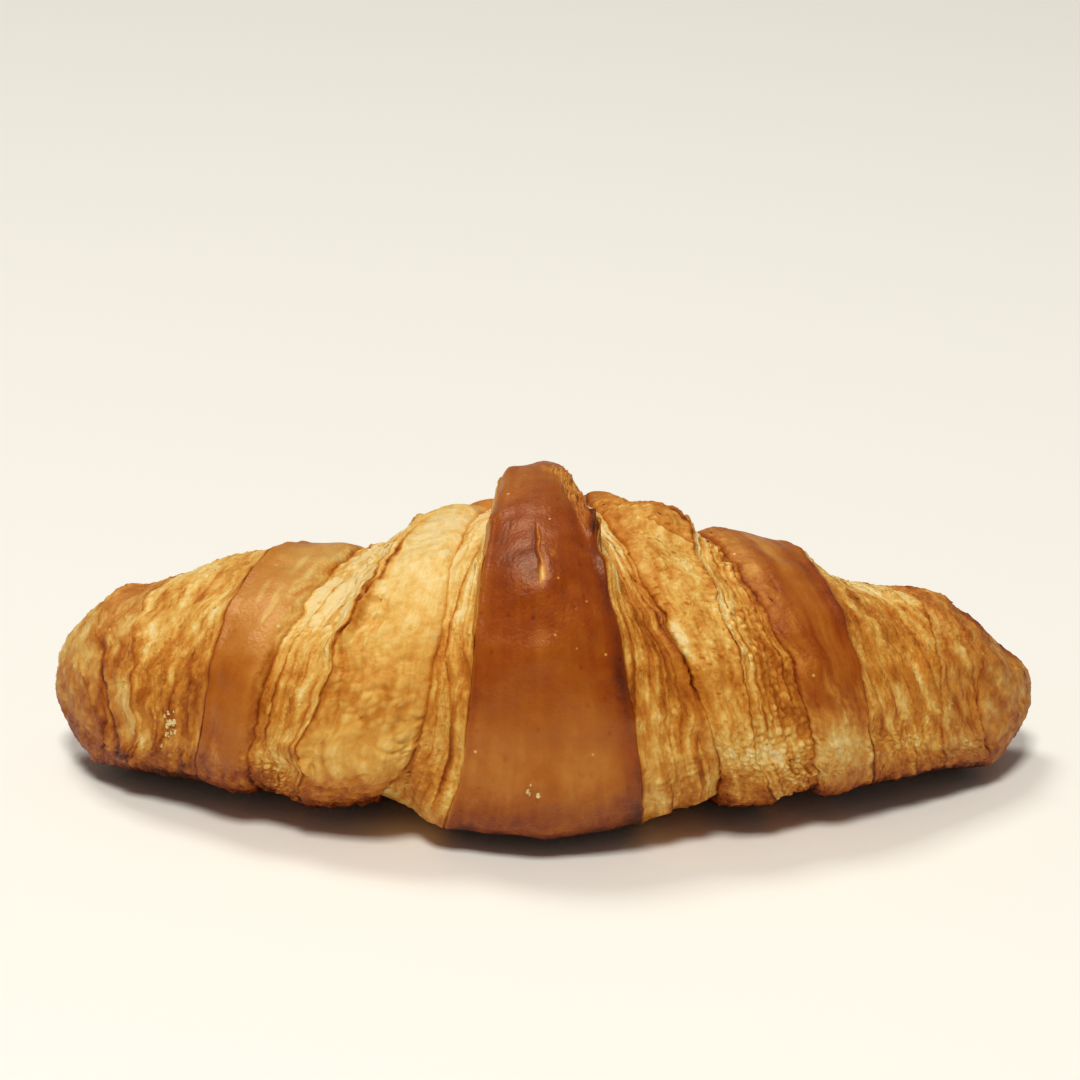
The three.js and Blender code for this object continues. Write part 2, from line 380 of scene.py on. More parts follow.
    def surface(self, half: Half, n: int, f: Array, degrees: Array) -> Array:
        """The smooth form over one stretch.

        Args:
            half: which half of the roll.
            n: the stretch, 0 at the middle and 7 at the tip.
            f: shares across the stretch, shape (m,).
            degrees: angles round the roll, shape (k,).

        Returns:
            Points in millimetres, shape (m, k, 3).
        """
        is_tip = n == LAST
        start = self.line(half, n, degrees)
        end = start if is_tip else self.line(half, n + 1, degrees)
        share = f[:, None]
        at = {key: mix(start[key][None], end[key][None], share) for key in start}
        reach = 1 - (1 - share) ** 2
        close = clamp(1 - reach**self.tip_point) ** self.tip_blunt if is_tip else 1.0
        x = mix(start["x"][None], self.half_length, reach) if is_tip else at["x"]
        turn = np.radians(degrees)[None]
        c, s = np.cos(turn), np.sin(turn)
        centre = at["lift"] + self.belly * (at["height"] - at["lift"])
        power = np.where(s >= 0, self.round, at["square"])
        y = -at["half_width"] * np.sign(c) * np.abs(c) ** power * close
        span = np.where(s >= 0, at["height"] - centre, -(centre - at["lift"] + self.base_sink))
        z = centre + span * np.abs(s) ** power * close
        return self.bent(half.value * x, y, z)

    def bent(self, x: Array, y: Array, z: Array) -> Array:
        """Bends the straight roll in plan.

        Args:
            x: distances from the middle, minus on the left.
            y: distances behind the middle line.
            z: heights.

        Returns:
            The bent points, with one more axis.
        """
        t = x / self.half_length
        slope = 2 * self.bend * t / self.half_length
        n = np.hypot(1, slope)
        return np.stack([x - y * slope / n, self.set_back + self.bend * t * t + y / n, z], -1)

    def single_forms(self, half: Half, along: Array, degrees: Array) -> Array:
        """The height of the single bumps.

        Args:
            half: which half of the roll.
            along: stretches from the middle.
            degrees: angles round the roll.

        Returns:
            Heights in mm.
        """
        total = np.zeros(np.broadcast(along, degrees).shape)
        for b in self.bumps:
            if b.half is half:
                total += b.height * hump(along, b.along, b.across) * hump(degrees, b.degrees, b.around)
        return total * clamp(1 + LAST - along)

    def spot(self, side: float, degrees: float) -> Array:
        """The point of the smooth form at one place.

        Args:
            side: stretches from the middle, minus on the left.
            degrees: the angle round the roll.

        Returns:
            The point in millimetres.
        """
        half = Half.RIGHT if side >= 0 else Half.LEFT
        n = min(int(abs(side)), LAST)
        share = np.array([min(abs(side) - n, self.LAST_SHARE)])
        return self.surface(half, n, share, np.array([float(degrees)]))[0, 0]


# Finishes


@dataclass(frozen=True)
class Wiring:
    """A node tree that is being filled."""

    tree: bpy.types.NodeTree

    def feed(self, node: bpy.types.Node, given: dict) -> bpy.types.Node:
        """Fills a node's inputs.

        Args:
            node: the node.
            given: sockets or values by input name or number.

        Returns:
            The same node.
        """
        for label, value in given.items():
            if isinstance(value, bpy.types.NodeSocket):
                self.tree.links.new(value, node.inputs[label])
            else:
                node.inputs[label].default_value = value
        return node

    def node(self, kind: str, given: dict, **settings: object) -> bpy.types.Node:
        """Adds a node.

        Args:
            kind: its type.
            given: sockets or values by input name or number.
            settings: properties to set first.

        Returns:
            The node.
        """
        node = self.tree.nodes.new(kind)
        for key, value in settings.items():
            setattr(node, key, value)
        return self.feed(node, given)

    def maths(self, operation: str, *given: object) -> bpy.types.NodeSocket:
        """Adds a maths node for sockets or numbers."""
        return self.node("ShaderNodeMath", dict(enumerate(given)), operation=operation).outputs[0]


@dataclass(frozen=True)
class Tone:
    """One step of the browning scale: how browned, and the colour there (linear)."""

    bake: float
    colour: tuple[float, float, float]


@dataclass(frozen=True)
class BakedFinish:
    """A baked dough surface that reads its browning and its glaze from the mesh."""

    name: str
    tones: tuple[Tone, ...]
    mottle: float  # how much fine noise shifts the browning
    specks: float  # how pale the small specks are
    roughness: tuple[float, float]  # dry, glazed
    shine: float  # how strongly it mirrors light
    bump: float
    fibre: float  # height of the fine fibres that follow the layers
    shine_colour: tuple[float, float, float] = (1.0, 0.7, 0.4)
    relief: float = 0.28  # height of the fine grain, mm
    glow: float = 0.12  # share of light that passes through the dough
    glow_colour: tuple[float, float, float] = (1.0, 0.45, 0.15)
    glow_reach: float = 1.5  # mm

    def material(self, groups: "DoughGroups") -> bpy.types.Material:
        """Makes the material.

        Args:
            groups: the shader node groups shared by the baked finishes.

        Returns:
            The finished material.
        """
        made = bpy.data.materials.new(self.name)
        made.use_nodes = True
        wiring = Wiring(made.node_tree)
        where = wiring.node("ShaderNodeTexCoord", {}).outputs["Object"]
        bake, glaze, flow = (
            wiring.node("ShaderNodeAttribute", {}, attribute_name=label) for label in (BAKE, GLAZE, FLOW))
        given = {"Place": where, "Flow": flow.outputs["Vector"], "Glaze": glaze.outputs["Fac"]}
        browning = {"Bake": bake.outputs["Fac"], "Amount": self.mottle, "Specks": self.specks}
        mottle = wiring.node("ShaderNodeGroup", given | browning, node_tree=groups.mottle)
        ramp = wiring.node("ShaderNodeValToRGB", {"Fac": mottle.outputs["Bake"]})
        self._scale(ramp.color_ramp.elements)
        grain = wiring.node("ShaderNodeGroup", given | {"Fibre": self.fibre}, node_tree=groups.pores)
        bump = wiring.node("ShaderNodeBump", {
            "Strength": self.bump, "Distance": self.relief * MM, "Height": grain.outputs["Height"]})
        rough = wiring.node("ShaderNodeMapRange", {
            "Value": glaze.outputs["Fac"], "To Min": self.roughness[0], "To Max": self.roughness[1]})
        wiring.feed(made.node_tree.nodes["Principled BSDF"], {
            "Base Color": ramp.outputs["Color"],
            "Normal": bump.outputs["Normal"],
            "Roughness": rough.outputs["Result"],
            "Specular IOR Level": self.shine,
            "Specular Tint": (*self.shine_colour, 1),
            "Subsurface Weight": self.glow,
            "Subsurface Radius": self.glow_colour,
            "Subsurface Scale": self.glow_reach * MM,
        })
        return made

    def _scale(self, steps: bpy.types.ColorRampElements) -> None:
        """Sets the browning scale on a colour ramp.

        Args:
            steps: the ramp's elements, of which there are two at first.
        """
        for element, tone in zip(list(steps), (self.tones[0], self.tones[-1])):
            element.position, element.color = tone.bake, (*tone.colour, 1)
        for tone in self.tones[1:-1]:
            steps.new(tone.bake).color = (*tone.colour, 1)


class DoughGroups:
    """The shader node groups that the baked finishes share."""

    BLOTCH = (330, 330, 330)  # cells in a metre
    SPECK = (1900, 1900, 1900)
    GRAIN = (1600, 1600, 1600)
    DOT = (230, 230, 230)
    CRACKLE = (620, 620, 620)
    STREAK = (0.62, 0.15, 0.15)  # cells in a millimetre, across and along the layers
    THREAD = (1.7, 0.34, 0.34)
    FIBRE = (3.2, 0.8, 0.8)
    CRACKLE_MEAN = 0.1
    DOT_SIZE = (0.035, 0.075)  # in cells, whole and faded out
    SPECK_SHARE = 0.25  # of the browning's unevenness
    CRACKLE_SHARE, THREAD_SHARE, STREAK_SHARE = 0.7, 1.1, 1.3  # of the lines
    LINES_SHARE = 1.4  # of the unevenness, where the crust is dry
    DRY_GAIN = 1.6  # how much more uneven a dry crust is
    GRAIN_WET, GRAIN_DRY = 0.8, 1.2  # height of the grain on a glazed crust, and added on a dry one
    CREASE_HEIGHT = 3.0

    def __init__(self) -> None:
        """Builds both groups once."""
        self.mottle = self._mottle()
        self.pores = self._pores()

    @staticmethod
    def _group(name: str, numbers: tuple[str, ...], output: str) -> tuple:
        """Starts a shader node group that reads places and flow.

        Args:
            name: the group's name.
            numbers: names of its number inputs.
            output: name of its one output.

        Returns:
            Its wiring, its inputs' sockets and its output's socket.
        """
        tree = bpy.data.node_groups.new(name, "ShaderNodeTree")
        for label in ("Place", "Flow"):
            tree.interface.new_socket(label, in_out="INPUT", socket_type="NodeSocketVector")
        for label in numbers:
            tree.interface.new_socket(label, in_out="INPUT", socket_type="NodeSocketFloat")
        tree.interface.new_socket(output, in_out="OUTPUT", socket_type="NodeSocketFloat")
        start, end = tree.nodes.new("NodeGroupInput"), tree.nodes.new("NodeGroupOutput")
        return Wiring(tree), start.outputs, end.inputs[output]

    @staticmethod
    def _texture(wiring: Wiring, kind: str, source: bpy.types.NodeSocket, scale: tuple,
                 **given: float) -> bpy.types.Node:
        """Adds a texture whose cells are stretched by scale.

        Args:
            wiring: the group's wiring.
            kind: the texture's type.
            source: the place that the texture reads.
            scale: cells for each unit of the place, on its three axes.
            given: values of more inputs.

        Returns:
            The texture's node.
        """
        place = wiring.node("ShaderNodeVectorMath", {0: source, 1: scale}, operation="MULTIPLY").outputs[0]
        return wiring.node(kind, {"Vector": place, "Scale": 1.0, **given})

    def _noise(self, wiring: Wiring, source: bpy.types.NodeSocket, scale: tuple,
               octaves: float) -> bpy.types.NodeSocket:
        """Adds a noise, from about -0.5 to 0.5. See _texture."""
        noise = self._texture(wiring, "ShaderNodeTexNoise", source, scale, Detail=octaves)
        return wiring.maths("SUBTRACT", noise.outputs["Fac"], 0.5)

    def _dots(self, wiring: Wiring, place: bpy.types.NodeSocket) -> bpy.types.NodeSocket:
        """Adds small scattered dots: 1 on a dot and 0 beside it."""
        far = self._texture(wiring, "ShaderNodeTexVoronoi", place, self.DOT).outputs["Distance"]
        given = {"Value": far, "From Min": self.DOT_SIZE[1], "From Max": self.DOT_SIZE[0]}
        return wiring.node("ShaderNodeMapRange", given).outputs["Result"]

    def _crackle(self, wiring: Wiring, place: bpy.types.NodeSocket) -> bpy.types.NodeSocket:
        """Adds a net of fine creases: 0 in a crease and more on the swells between."""
        return wiring.maths("ABSOLUTE", self._noise(wiring, place, self.CRACKLE, 3))

    def _mottle(self) -> bpy.types.NodeTree:
        """Builds the group that gives the browning its fine unevenness and its specks; its crackle also
        paints shade into the fine creases.

        Returns:
            The group's tree.
        """
        wiring, given, result = self._group("browning", ("Bake", "Glaze", "Amount", "Specks"), "Bake")
        maths = wiring.maths
        blotch = self._noise(wiring, given["Place"], self.BLOTCH, 3)
        speck = self._noise(wiring, given["Place"], self.SPECK, 2)
        streak = self._noise(wiring, given["Flow"], self.STREAK, 4)
        thread = self._noise(wiring, given["Flow"], self.THREAD, 4)
        dry = maths("SUBTRACT", 1.0, given["Glaze"])
        total = maths("MULTIPLY_ADD", speck, self.SPECK_SHARE, blotch)
        # crackle darkens the fine creases that the grain's bump sinks, partly browning and partly painted
        # shade, and pales the swells between
        crackle = maths("SUBTRACT", self.CRACKLE_MEAN, self._crackle(wiring, given["Place"]))
        lines = maths("MULTIPLY", thread, self.THREAD_SHARE)
        lines = maths("MULTIPLY_ADD", crackle, self.CRACKLE_SHARE, lines)
        lines = maths("MULTIPLY_ADD", streak, self.STREAK_SHARE, lines)
        total = maths("MULTIPLY_ADD", maths("MULTIPLY", lines, dry), self.LINES_SHARE, total)
        gain = maths("MULTIPLY_ADD", dry, self.DRY_GAIN, 1.0)
        bake = maths("MULTIPLY_ADD", total, maths("MULTIPLY", gain, given["Amount"]), given["Bake"])
        pale = maths("MULTIPLY", self._dots(wiring, given["Place"]), given["Specks"])
        wiring.tree.links.new(maths("SUBTRACT", bake, pale), result)
        return wiring.tree

    def _pores(self) -> bpy.types.NodeTree:
        """Builds the group that gives the height of the fine grain, about 0.

        Returns:
            The group's tree.
        """
        wiring, given, result = self._group("fine grain", ("Glaze", "Fibre"), "Height")
        maths = wiring.maths
        grain = self._noise(wiring, given["Place"], self.GRAIN, 4)
        fibre = self._noise(wiring, given["Flow"], self.FIBRE, 4)
        dry = maths("SUBTRACT", 1.0, given["Glaze"])
        rough = maths("MULTIPLY_ADD", dry, self.GRAIN_DRY, self.GRAIN_WET)
        creased = maths("MULTIPLY_ADD", self._crackle(wiring, given["Place"]), self.CREASE_HEIGHT, fibre)
        fibres = maths("MULTIPLY", maths("MULTIPLY", creased, dry), given["Fibre"])
        wiring.tree.links.new(maths("MULTIPLY_ADD", grain, rough, fibres), result)
        return wiring.tree


CRUST_FINISH = BakedFinish(
    name="egg washed crust",
    tones=(
        Tone(0.0, (0.779, 0.574, 0.23)),
        Tone(0.2, (0.697, 0.41, 0.098)),
        Tone(0.4, (0.574, 0.226, 0.03)),
        Tone(0.6, (0.41, 0.108, 0.0066)),
        Tone(0.78, (0.283, 0.046, 0.0008)),
        Tone(0.9, (0.164, 0.021, 0.0016)),
        Tone(1.0, (0.066, 0.008, 0.0016)),
    ),
    mottle=0.17,
    specks=0.5,
    roughness=(0.66, 0.4),
    shine=0.62,
    bump=0.65,
    fibre=0.8,
)
LAYER_FINISH = BakedFinish(
    name="open baked layers",
    tones=(
        Tone(0.0, (0.87, 0.65, 0.29)),
        Tone(0.08, (0.83, 0.56, 0.18)),
        Tone(0.2, (0.755, 0.415, 0.085)),
        Tone(0.4, (0.58, 0.214, 0.024)),
        Tone(0.6, (0.405, 0.108, 0.008)),
        Tone(0.8, (0.23, 0.043, 0.0025)),
        Tone(1.0, (0.074, 0.011, 0.0025)),
    ),
    mottle=0.18,
    specks=0.0,
    roughness=(0.62, 0.36),
    shine=0.3,
    bump=0.7,
    fibre=0.8,
)


# Relief and browning


@dataclass(frozen=True)
class Places:
    """Where the points of a piece lie, in the coordinates that its relief uses."""

    half: Half
    share: Array  # across the stretch, shape (m, 1)
    side: Array  # stretches from the middle, minus on the left, shape (m, 1)
    degrees: Array  # round the roll, shape (1, k)
    across: Array  # mm from the middle, following the wraps, shape (m, k)
    point: Array  # the smooth form, in mm, shape (m, k, 3)
    girth: float = 24.0  # radius at which angles are laid out, mm

    @property
    def turn(self) -> Array:
        """The share of a whole turn, starting under the roll."""
        return np.broadcast_to((self.degrees + 90) / 360, self.across.shape)

    @property
    def flow(self) -> Array:
        """Places that follow the wraps: across, and twice round the roll, in mm."""
        angle = np.broadcast_to(np.radians(self.degrees), self.across.shape)
        return np.stack([self.across, self.girth * np.cos(angle), self.girth * np.sin(angle)], -1)

    @property
    def outward(self) -> Array:
        """Distance from the middle, in mm, following the wraps."""
        return self.across * self.half.value


@dataclass
class Relief:
    """What a surface adds to the smooth form: height in mm, browning with its painted shade and highlights,
    glaze, and open layers.
    """

    height: Array
    bake: Array
    glaze: Array
    bare: Array


@dataclass(frozen=True)
class CutLayers:
    """Thin layers cut across: long fine edges, torn scraps and small bubbles."""

    seed: int
    spacing: tuple[float, float] = (2.6, 0.95)  # mm between strong and between fine edges
    step: tuple[float, float] = (0.42, 0.15)  # mm
    shade: tuple[float, float] = (0.2, 0.09)  # browning of the lines, with painted shade in the undercut under each edge and a paler painted highlight on its rise
    sway: tuple[float, float] = (1.0, 0.14)  # mm, broad and small wandering of the lines
    broken: float = 1.0  # how short the lines are
    firm: float = 0.0  # how much more of the lines is whole
    lean: float = 6.5  # mm that the lines run inwards from front to ridge
    thread: float = 0.1  # mm
    thread_shade: float = 0.1
    crinkle: float = 0.3  # mm
    # browning that darkens the crinkles' valleys as painted shade and pales their crests as painted
    # highlight
    crinkle_shade: float = 0.16
    stain: float = 0.15  # browning of the blotches that run with the layers
    scrap: float = 0.26  # mm
    scraps_round: int = 48
    bubble: float = 0.24  # mm
    bubbles_round: int = 112
    bubble_shade: float = 0.1

    SWAY_SIZES = (17.0, 4.6)  # mm, of the broad and the small wandering
    SWAY_APART = 3.0
    LEAN_OUT, LEAN_BACK = (-15.0, 105.0), (235.0, 160.0)  # degrees
    WAVE = 0.5  # how far a line bends between its neighbours
    WAVE_CELLS = np.array([0.02, 0.035, 0.035])  # in a millimetre
    SHEET_STEP, SIZE_STEP, WAVE_STEP = 7.7, 31.0, 9.0  # keep the noises of sheets and sizes apart
    EDGE_RUN = 0.16  # noise cells in a millimetre along a line
    WHOLE_LINE = (-0.15, 0.7)
    EDGE_CURVE, EDGE_DROP, EDGE_MEAN = 1.7, (0.88, 1.0), 0.3
    DARK_LINE, PALE_LINE, PALE_SHARE = (0.94, 0.13), (0.66, 0.15), 0.35  # places beside the edge: of the painted shade in the undercut, and of the paler painted highlight on the rise
    THREAD_CELLS, BLOTCH_CELLS, CRINKLE_CELLS = (1.15, 0.15), (0.55, 0.13), (0.75, 0.2)
    BLOTCH_APART, CRINKLE_APART = 60.0, 120.0
    CRINKLE_MEAN = 0.3
    RUFFLE, RUFFLE_SIZE, RUFFLE_APART = 0.35, 1.3, 80.0
    SCRAP_CELLS, BUBBLE_CELLS = 0.7, 0.8  # in a millimetre across the layers
    TORN, TORN_EDGE = (0.45, 0.5), (0.02, 0.14)
    SCRAP_SHADE, SCRAP_MEAN, SCRAP_HEIGHT_MEAN = 0.3, 0.74, 0.2
    BUBBLED, BUBBLED_SIZE = (-0.5, 0.5), 6.5
    DOME_EDGE, DOME_LEAST, DOME_MEAN, DOME_SHADE_MEAN = (0.0, 0.6), 0.4, 0.4, 0.5

    def at(self, at: Places) -> tuple[Array, Array]:
        """The layers' relief, and their browning with its painted shade and highlights.

        Args:
            at: the places.

        Returns:
            Height in mm and added browning with its painted shade, each of shape (m, k).
        """
        grain = Grain(self.seed)
        broad, small = self.sway
        broad_size, small_size = self.SWAY_SIZES
        moved = at.outward + broad * grain.soft(at.point / broad_size)
        moved = moved + small * grain.soft(at.point / small_size + self.SWAY_APART)
        moved = moved + self.lean * ease(*self.LEAN_OUT, at.degrees) * ease(*self.LEAN_BACK, at.degrees)
        height, bake = np.zeros(moved.shape), np.zeros(moved.shape)
        for part in (self._edges, self._streaks, self._scraps, self._bubbles):
            raised, shaded = part(at, grain, moved)
            height += raised
            bake += shaded
        return height, bake

    def _edges(self, at: Places, grain: Grain, moved: Array) -> tuple[Array, Array]:
        """The long edges: each sheet rises outwards to its lip and drops to the next.

        Args:
            at: the places.
            grain: the layers' noise.
            moved: how far out the places lie in the wandering layers, mm.

        Returns:
            Height in mm and added browning, with painted shade in each undercut and a painted highlight on
            each rise.
        """
        flow = at.flow * self.broken
        height, bake = np.zeros(moved.shape), np.zeros(moved.shape)
        for k, (spacing, step, shade) in enumerate(zip(self.spacing, self.step, self.shade)):
            wave = grain.soft(at.flow * self.WAVE_CELLS + self.WAVE_STEP * k)
            level = moved / spacing + self.WAVE * wave
            sheet = np.floor(level)
            phase = level - sheet
            spot = np.stack([self.SHEET_STEP * sheet + self.SIZE_STEP * k,
                             flow[..., 1] * self.EDGE_RUN, flow[..., 2] * self.EDGE_RUN], -1)
            strong = ease(*self.WHOLE_LINE, grain.soft(spot) + self.firm)
            rise = phase**self.EDGE_CURVE * (1 - ease(*self.EDGE_DROP, phase))
            height += step * strong * (rise - self.EDGE_MEAN)
            # painted shade on the drop just past the lip, less a paler painted highlight on the rise before
            # it
            line = hump(phase, *self.DARK_LINE) - self.PALE_SHARE * hump(phase, *self.PALE_LINE)
            bake += strong * shade * line
        return height, bake

    def _streaks(self, at: Places, grain: Grain, moved: Array) -> tuple[Array, Array]:
        """Threads, browned blotches and crinkles that run with the layers, with painted shade in the
        crinkles' valleys and paler crests. See _edges.
        """
        flow = at.flow * self.broken

        def run(cells: tuple[float, float]) -> Array:
            """Places for a noise with so many cells in a mm across and along the layers."""
            return np.stack([moved * cells[0], flow[..., 1] * cells[1], flow[..., 2] * cells[1]], -1)

        threads = grain.cloud(run(self.THREAD_CELLS), 3)
        blotch = grain.cloud(run(self.BLOTCH_CELLS) + self.BLOTCH_APART, 4)
        # crinkle is high in the sunk valleys, which darken as painted shade, and below zero on the crests,
        # which pale as painted highlight
        crinkle = self.CRINKLE_MEAN - np.abs(grain.cloud(run(self.CRINKLE_CELLS) + self.CRINKLE_APART, 3))
        shade = self.thread_shade * threads + self.stain * blotch + self.crinkle_shade * crinkle
        return self.thread * threads - self.crinkle * crinkle, shade

    def _scraps(self, at: Places, grain: Grain, moved: Array) -> tuple[Array, Array]:
        """Torn scraps that still hang on the edges. See _edges."""
        ruffle = self.RUFFLE * grain.soft(at.point / self.RUFFLE_SIZE + self.RUFFLE_APART)
        _, gap, mark = grain.cells(moved * self.SCRAP_CELLS + ruffle, at.turn, self.scraps_round)
        torn = ease(*self.TORN, mark) * ease(*self.TORN_EDGE, gap)
        shade = self.SCRAP_SHADE * torn * (mark - self.SCRAP_MEAN)
        return self.scrap * torn * (mark - self.SCRAP_HEIGHT_MEAN), shade

    def _bubbles(self, at: Places, grain: Grain, moved: Array) -> tuple[Array, Array]:
        """Small bubbles, in patches. See _edges."""
        amount = ease(*self.BUBBLED, grain.cloud(at.point / self.BUBBLED_SIZE, 2))
        _, gap, mark = grain.cells(moved * self.BUBBLE_CELLS, at.turn, self.bubbles_round)
        dome = ease(*self.DOME_EDGE, gap) * (self.DOME_LEAST + mark)
        shade = self.bubble_shade * amount * (self.DOME_SHADE_MEAN - dome)
        return self.bubble * amount * (dome - self.DOME_MEAN), shade


@dataclass(frozen=True)
class WholeSkin:
    """Smooth skin: soft dents, faint threads along the wrap and a few pits."""

    seed: int = 21
    dent: float = 0.1  # mm
    thread: float = 0.03  # mm
    thread_shade: float = 0.05
    pit: float = 0.14  # mm
    pits_round: int = 46

    DENT_SIZE, STAIN_SIZE, STAIN_APART = 9.0, 5.0, 11.0  # mm, and the noises' distance
    THREAD_CELLS = np.array([0.6, 0.045, 0.045])  # in a millimetre
    PIT_CELLS, PIT_SIZE, PITTED = 0.3, 0.075, (0.62, 0.8)
    DENT_SHADE, STAIN_SHADE, PIT_SHADE = 0.04, 0.055, 0.1

    def at(self, at: Places) -> tuple[Array, Array]:
        """The skin's relief and browning. See CutLayers.at."""
        grain = Grain(self.seed)
        dents = grain.cloud(at.point / self.DENT_SIZE, 3)
        stain = grain.cloud(at.point / self.STAIN_SIZE + self.STAIN_APART, 4)
        thread = grain.cloud(at.flow * self.THREAD_CELLS, 3)
        near, _, mark = grain.cells(at.across * self.PIT_CELLS, at.turn, self.pits_round)
        pit = hump(near, 0, self.PIT_SIZE) * ease(*self.PITTED, mark)
        height = self.dent * dents + self.thread * thread - self.pit * pit
        shade = self.DENT_SHADE * dents + self.STAIN_SHADE * stain
        return height, shade + self.thread_shade * thread + self.PIT_SHADE * pit


@dataclass(frozen=True)
class OpenDough:
    """Pale dough that blistered: domes of two sizes, creases with painted shade and paler crests, and
    browned crowns.
    """

    seed: int
    domes_round: tuple[int, int] = (70, 170)
    dome_width: tuple[float, float] = (1.7, 0.75)  # mm
    dome: tuple[float, float] = (0.3, 0.17)  # mm
    thread: float = 0.1  # mm
    thread_shade: float = 0.1
    crinkle: float = 0.35  # mm
    # browning that darkens the crinkles' valleys as painted shade and pales their crests as painted
    # highlight
    crinkle_shade: float = 0.17
    crinkle_width: float = 1.7  # mm
    crown_shade: float = 0.24
    valley_shade: float = 0.1
    high_domes: float = 1.0  # share of the domes' height that is left on top

    SWAY, TURN_SWAY, SWAY_SIZE, SWAY_APART = 0.35, 0.003, 2.4, 40.0  # mm, turns, mm
    PATCH_SIZE, PATCH_HEIGHT, PATCH_SHADE = 7.0, 0.25, 0.07
    LEAST_DOMED, DOMED, DOMED_SIZE, DOMED_APART = 0.25, (-0.4, 0.5), 9.0, 90.0
    HIGH = (45.0, 85.0)  # degrees
    SIZE_STEP = 50.0  # keeps the seeds of the two dome sizes apart
    DOME_EDGE, DOME_LEAST, DOME_MORE, DOME_MEAN = (0.0, 0.62), 0.35, 0.9, 0.4
    CROWNED, CROWN_EDGE = (0.84, 0.95), (0.2, 0.6)
    CRINKLE_MEAN, CRINKLE_APART = 0.3, 120.0
    THREAD_CELLS = np.array([0.8, 0.2, 0.2])  # in a millimetre

    def at(self, at: Places) -> tuple[Array, Array]:
        """The dough's relief and browning. See CutLayers.at."""
        grain = Grain(self.seed)
        moved = at.outward + self.SWAY * grain.soft(at.point / self.SWAY_SIZE)
        turn = at.turn + self.TURN_SWAY * grain.soft(at.point / self.SWAY_SIZE + self.SWAY_APART)
        patch = grain.cloud(at.point / self.PATCH_SIZE, 3)
        height, bake = self.PATCH_HEIGHT * patch, self.PATCH_SHADE * patch
        domed = ease(*self.DOMED, grain.cloud(at.point / self.DOMED_SIZE + self.DOMED_APART, 2))
        amount = self.LEAST_DOMED + (1 - self.LEAST_DOMED) * domed
        amount = amount * mix(1.0, self.high_domes, ease(*self.HIGH, at.degrees))
        for k, (count, width, dome) in enumerate(zip(self.domes_round, self.dome_width, self.dome)):
            _, gap, mark = grain.cells(moved / width + self.SIZE_STEP * k, turn, count)
            swell = ease(*self.DOME_EDGE, gap) * (self.DOME_LEAST + self.DOME_MORE * mark)
            height = height + dome * amount * (swell - self.DOME_MEAN)
            bake = bake + self.valley_shade * amount * (self.DOME_MEAN - swell)
            bake = bake + self.crown_shade * k * ease(*self.CROWNED, mark) * ease(*self.CROWN_EDGE, gap)
        crinkle = grain.cloud(at.point / self.crinkle_width + self.CRINKLE_APART, 3)
        crinkle = self.CRINKLE_MEAN - np.abs(crinkle)
        # crinkle is high in the sunk valleys, which darken as painted shade, and below zero on the crests,
        # which pale as painted highlight
        height, bake = height - self.crinkle * crinkle, bake + self.crinkle_shade * crinkle
        threads = grain.cloud(at.flow * self.THREAD_CELLS, 4)
        return height + self.thread * threads, bake + self.thread_shade * threads


@dataclass(frozen=True)
class Patch:
    """A place that baked darker or paler, or where the skin is worn, by signed stretches."""

    side: float
    degrees: float
    across: float  # its reach, in stretches
    around: float  # its reach, in degrees
    bake: float = 0.0
    worn: float = 0.0  # how much of the skin is gone

    OUTLINE, RAGGED = (0.18, 0.72), 0.22

    def at(self, at: Places, rough: Array) -> Array:
        """How much of the patch there is, with a ragged outline.

        Args:
            at: the places.
            rough: noise that makes the outline ragged.

        Returns:
            Shares from 0 to 1.
        """
        whole = hump(at.side, self.side, self.across) * hump(at.degrees, self.degrees, self.around)
        return ease(*self.OUTLINE, whole + self.RAGGED * rough)


@dataclass(frozen=True)
class Crease:
    """A line where a sheet ends: one rim stands up and the line beside it is shaded."""

    path: tuple[tuple[float, float], ...]  # signed stretches and degrees, from high to low
    rim: float = 0.35  # mm
    rim_side: int = -1  # which way the raised side lies
    groove: float = 0.25  # mm
    width: float = 0.4  # mm
    # the line's browning, which also paints the rim's shade in it; a minus value makes the line paler
    line_shade_and_browning: float = 0.25
    rim_bake: float = 0.08
    fade: float = 5.0  # degrees over which its ends run out

    STEPS = 48  # points along the line that distances are measured to
    FAR = 99.0  # mm, for places that the line doesn't reach
    UNEVEN = 0.5  # how far the line wanders, in widths
    RIM, LINE = (1.3, 1.1), (-0.4, 0.8)  # middle and reach of the rim and of the line, in widths

    def at(self, at: Places, roll: Roll, rough: Array) -> tuple[Array, Array]:
        """Height of the crease, and its browning with painted shade in the line beside the rim.

        Args:
            at: the places.
            roll: the form that the path lies on.
            rough: noise that makes the line uneven.

        Returns:
            Height in mm and added browning with its painted shade, each of shape (m, k).
        """
        degrees = np.array([d for _, d in self.path])
        sides = np.array([s for s, _ in self.path])
        steps = np.linspace(degrees[0], degrees[-1], self.STEPS)
        line = np.stack([roll.spot(np.interp(-d, -degrees, sides), d) for d in steps])
        shape = at.across.shape
        far = np.full(shape, self.FAR)
        turned = np.broadcast_to(at.degrees, shape)
        inside = (turned < degrees[0] + self.fade) & (turned > degrees[-1] - self.fade)
        points = at.point[inside]
        far[inside] = np.min(np.linalg.norm(points[:, None] - line[None], axis=-1), axis=1)
        way = np.sign(at.side - np.interp(-turned, -degrees, sides)) * self.rim_side
        off = far * way + self.UNEVEN * self.width * rough
        ends = ease(degrees[-1] - self.fade, degrees[-1] + self.fade, turned)
        ends = ends * (1 - ease(degrees[0] - self.fade, degrees[0] + self.fade, turned))
        rim, groove = (hump(off, middle * self.width, reach * self.width)
                       for middle, reach in (self.RIM, self.LINE))
        height = ends * (self.rim * rim - self.groove * groove)
        return height, ends * (self.line_shade_and_browning * groove + self.rim_bake * rim)


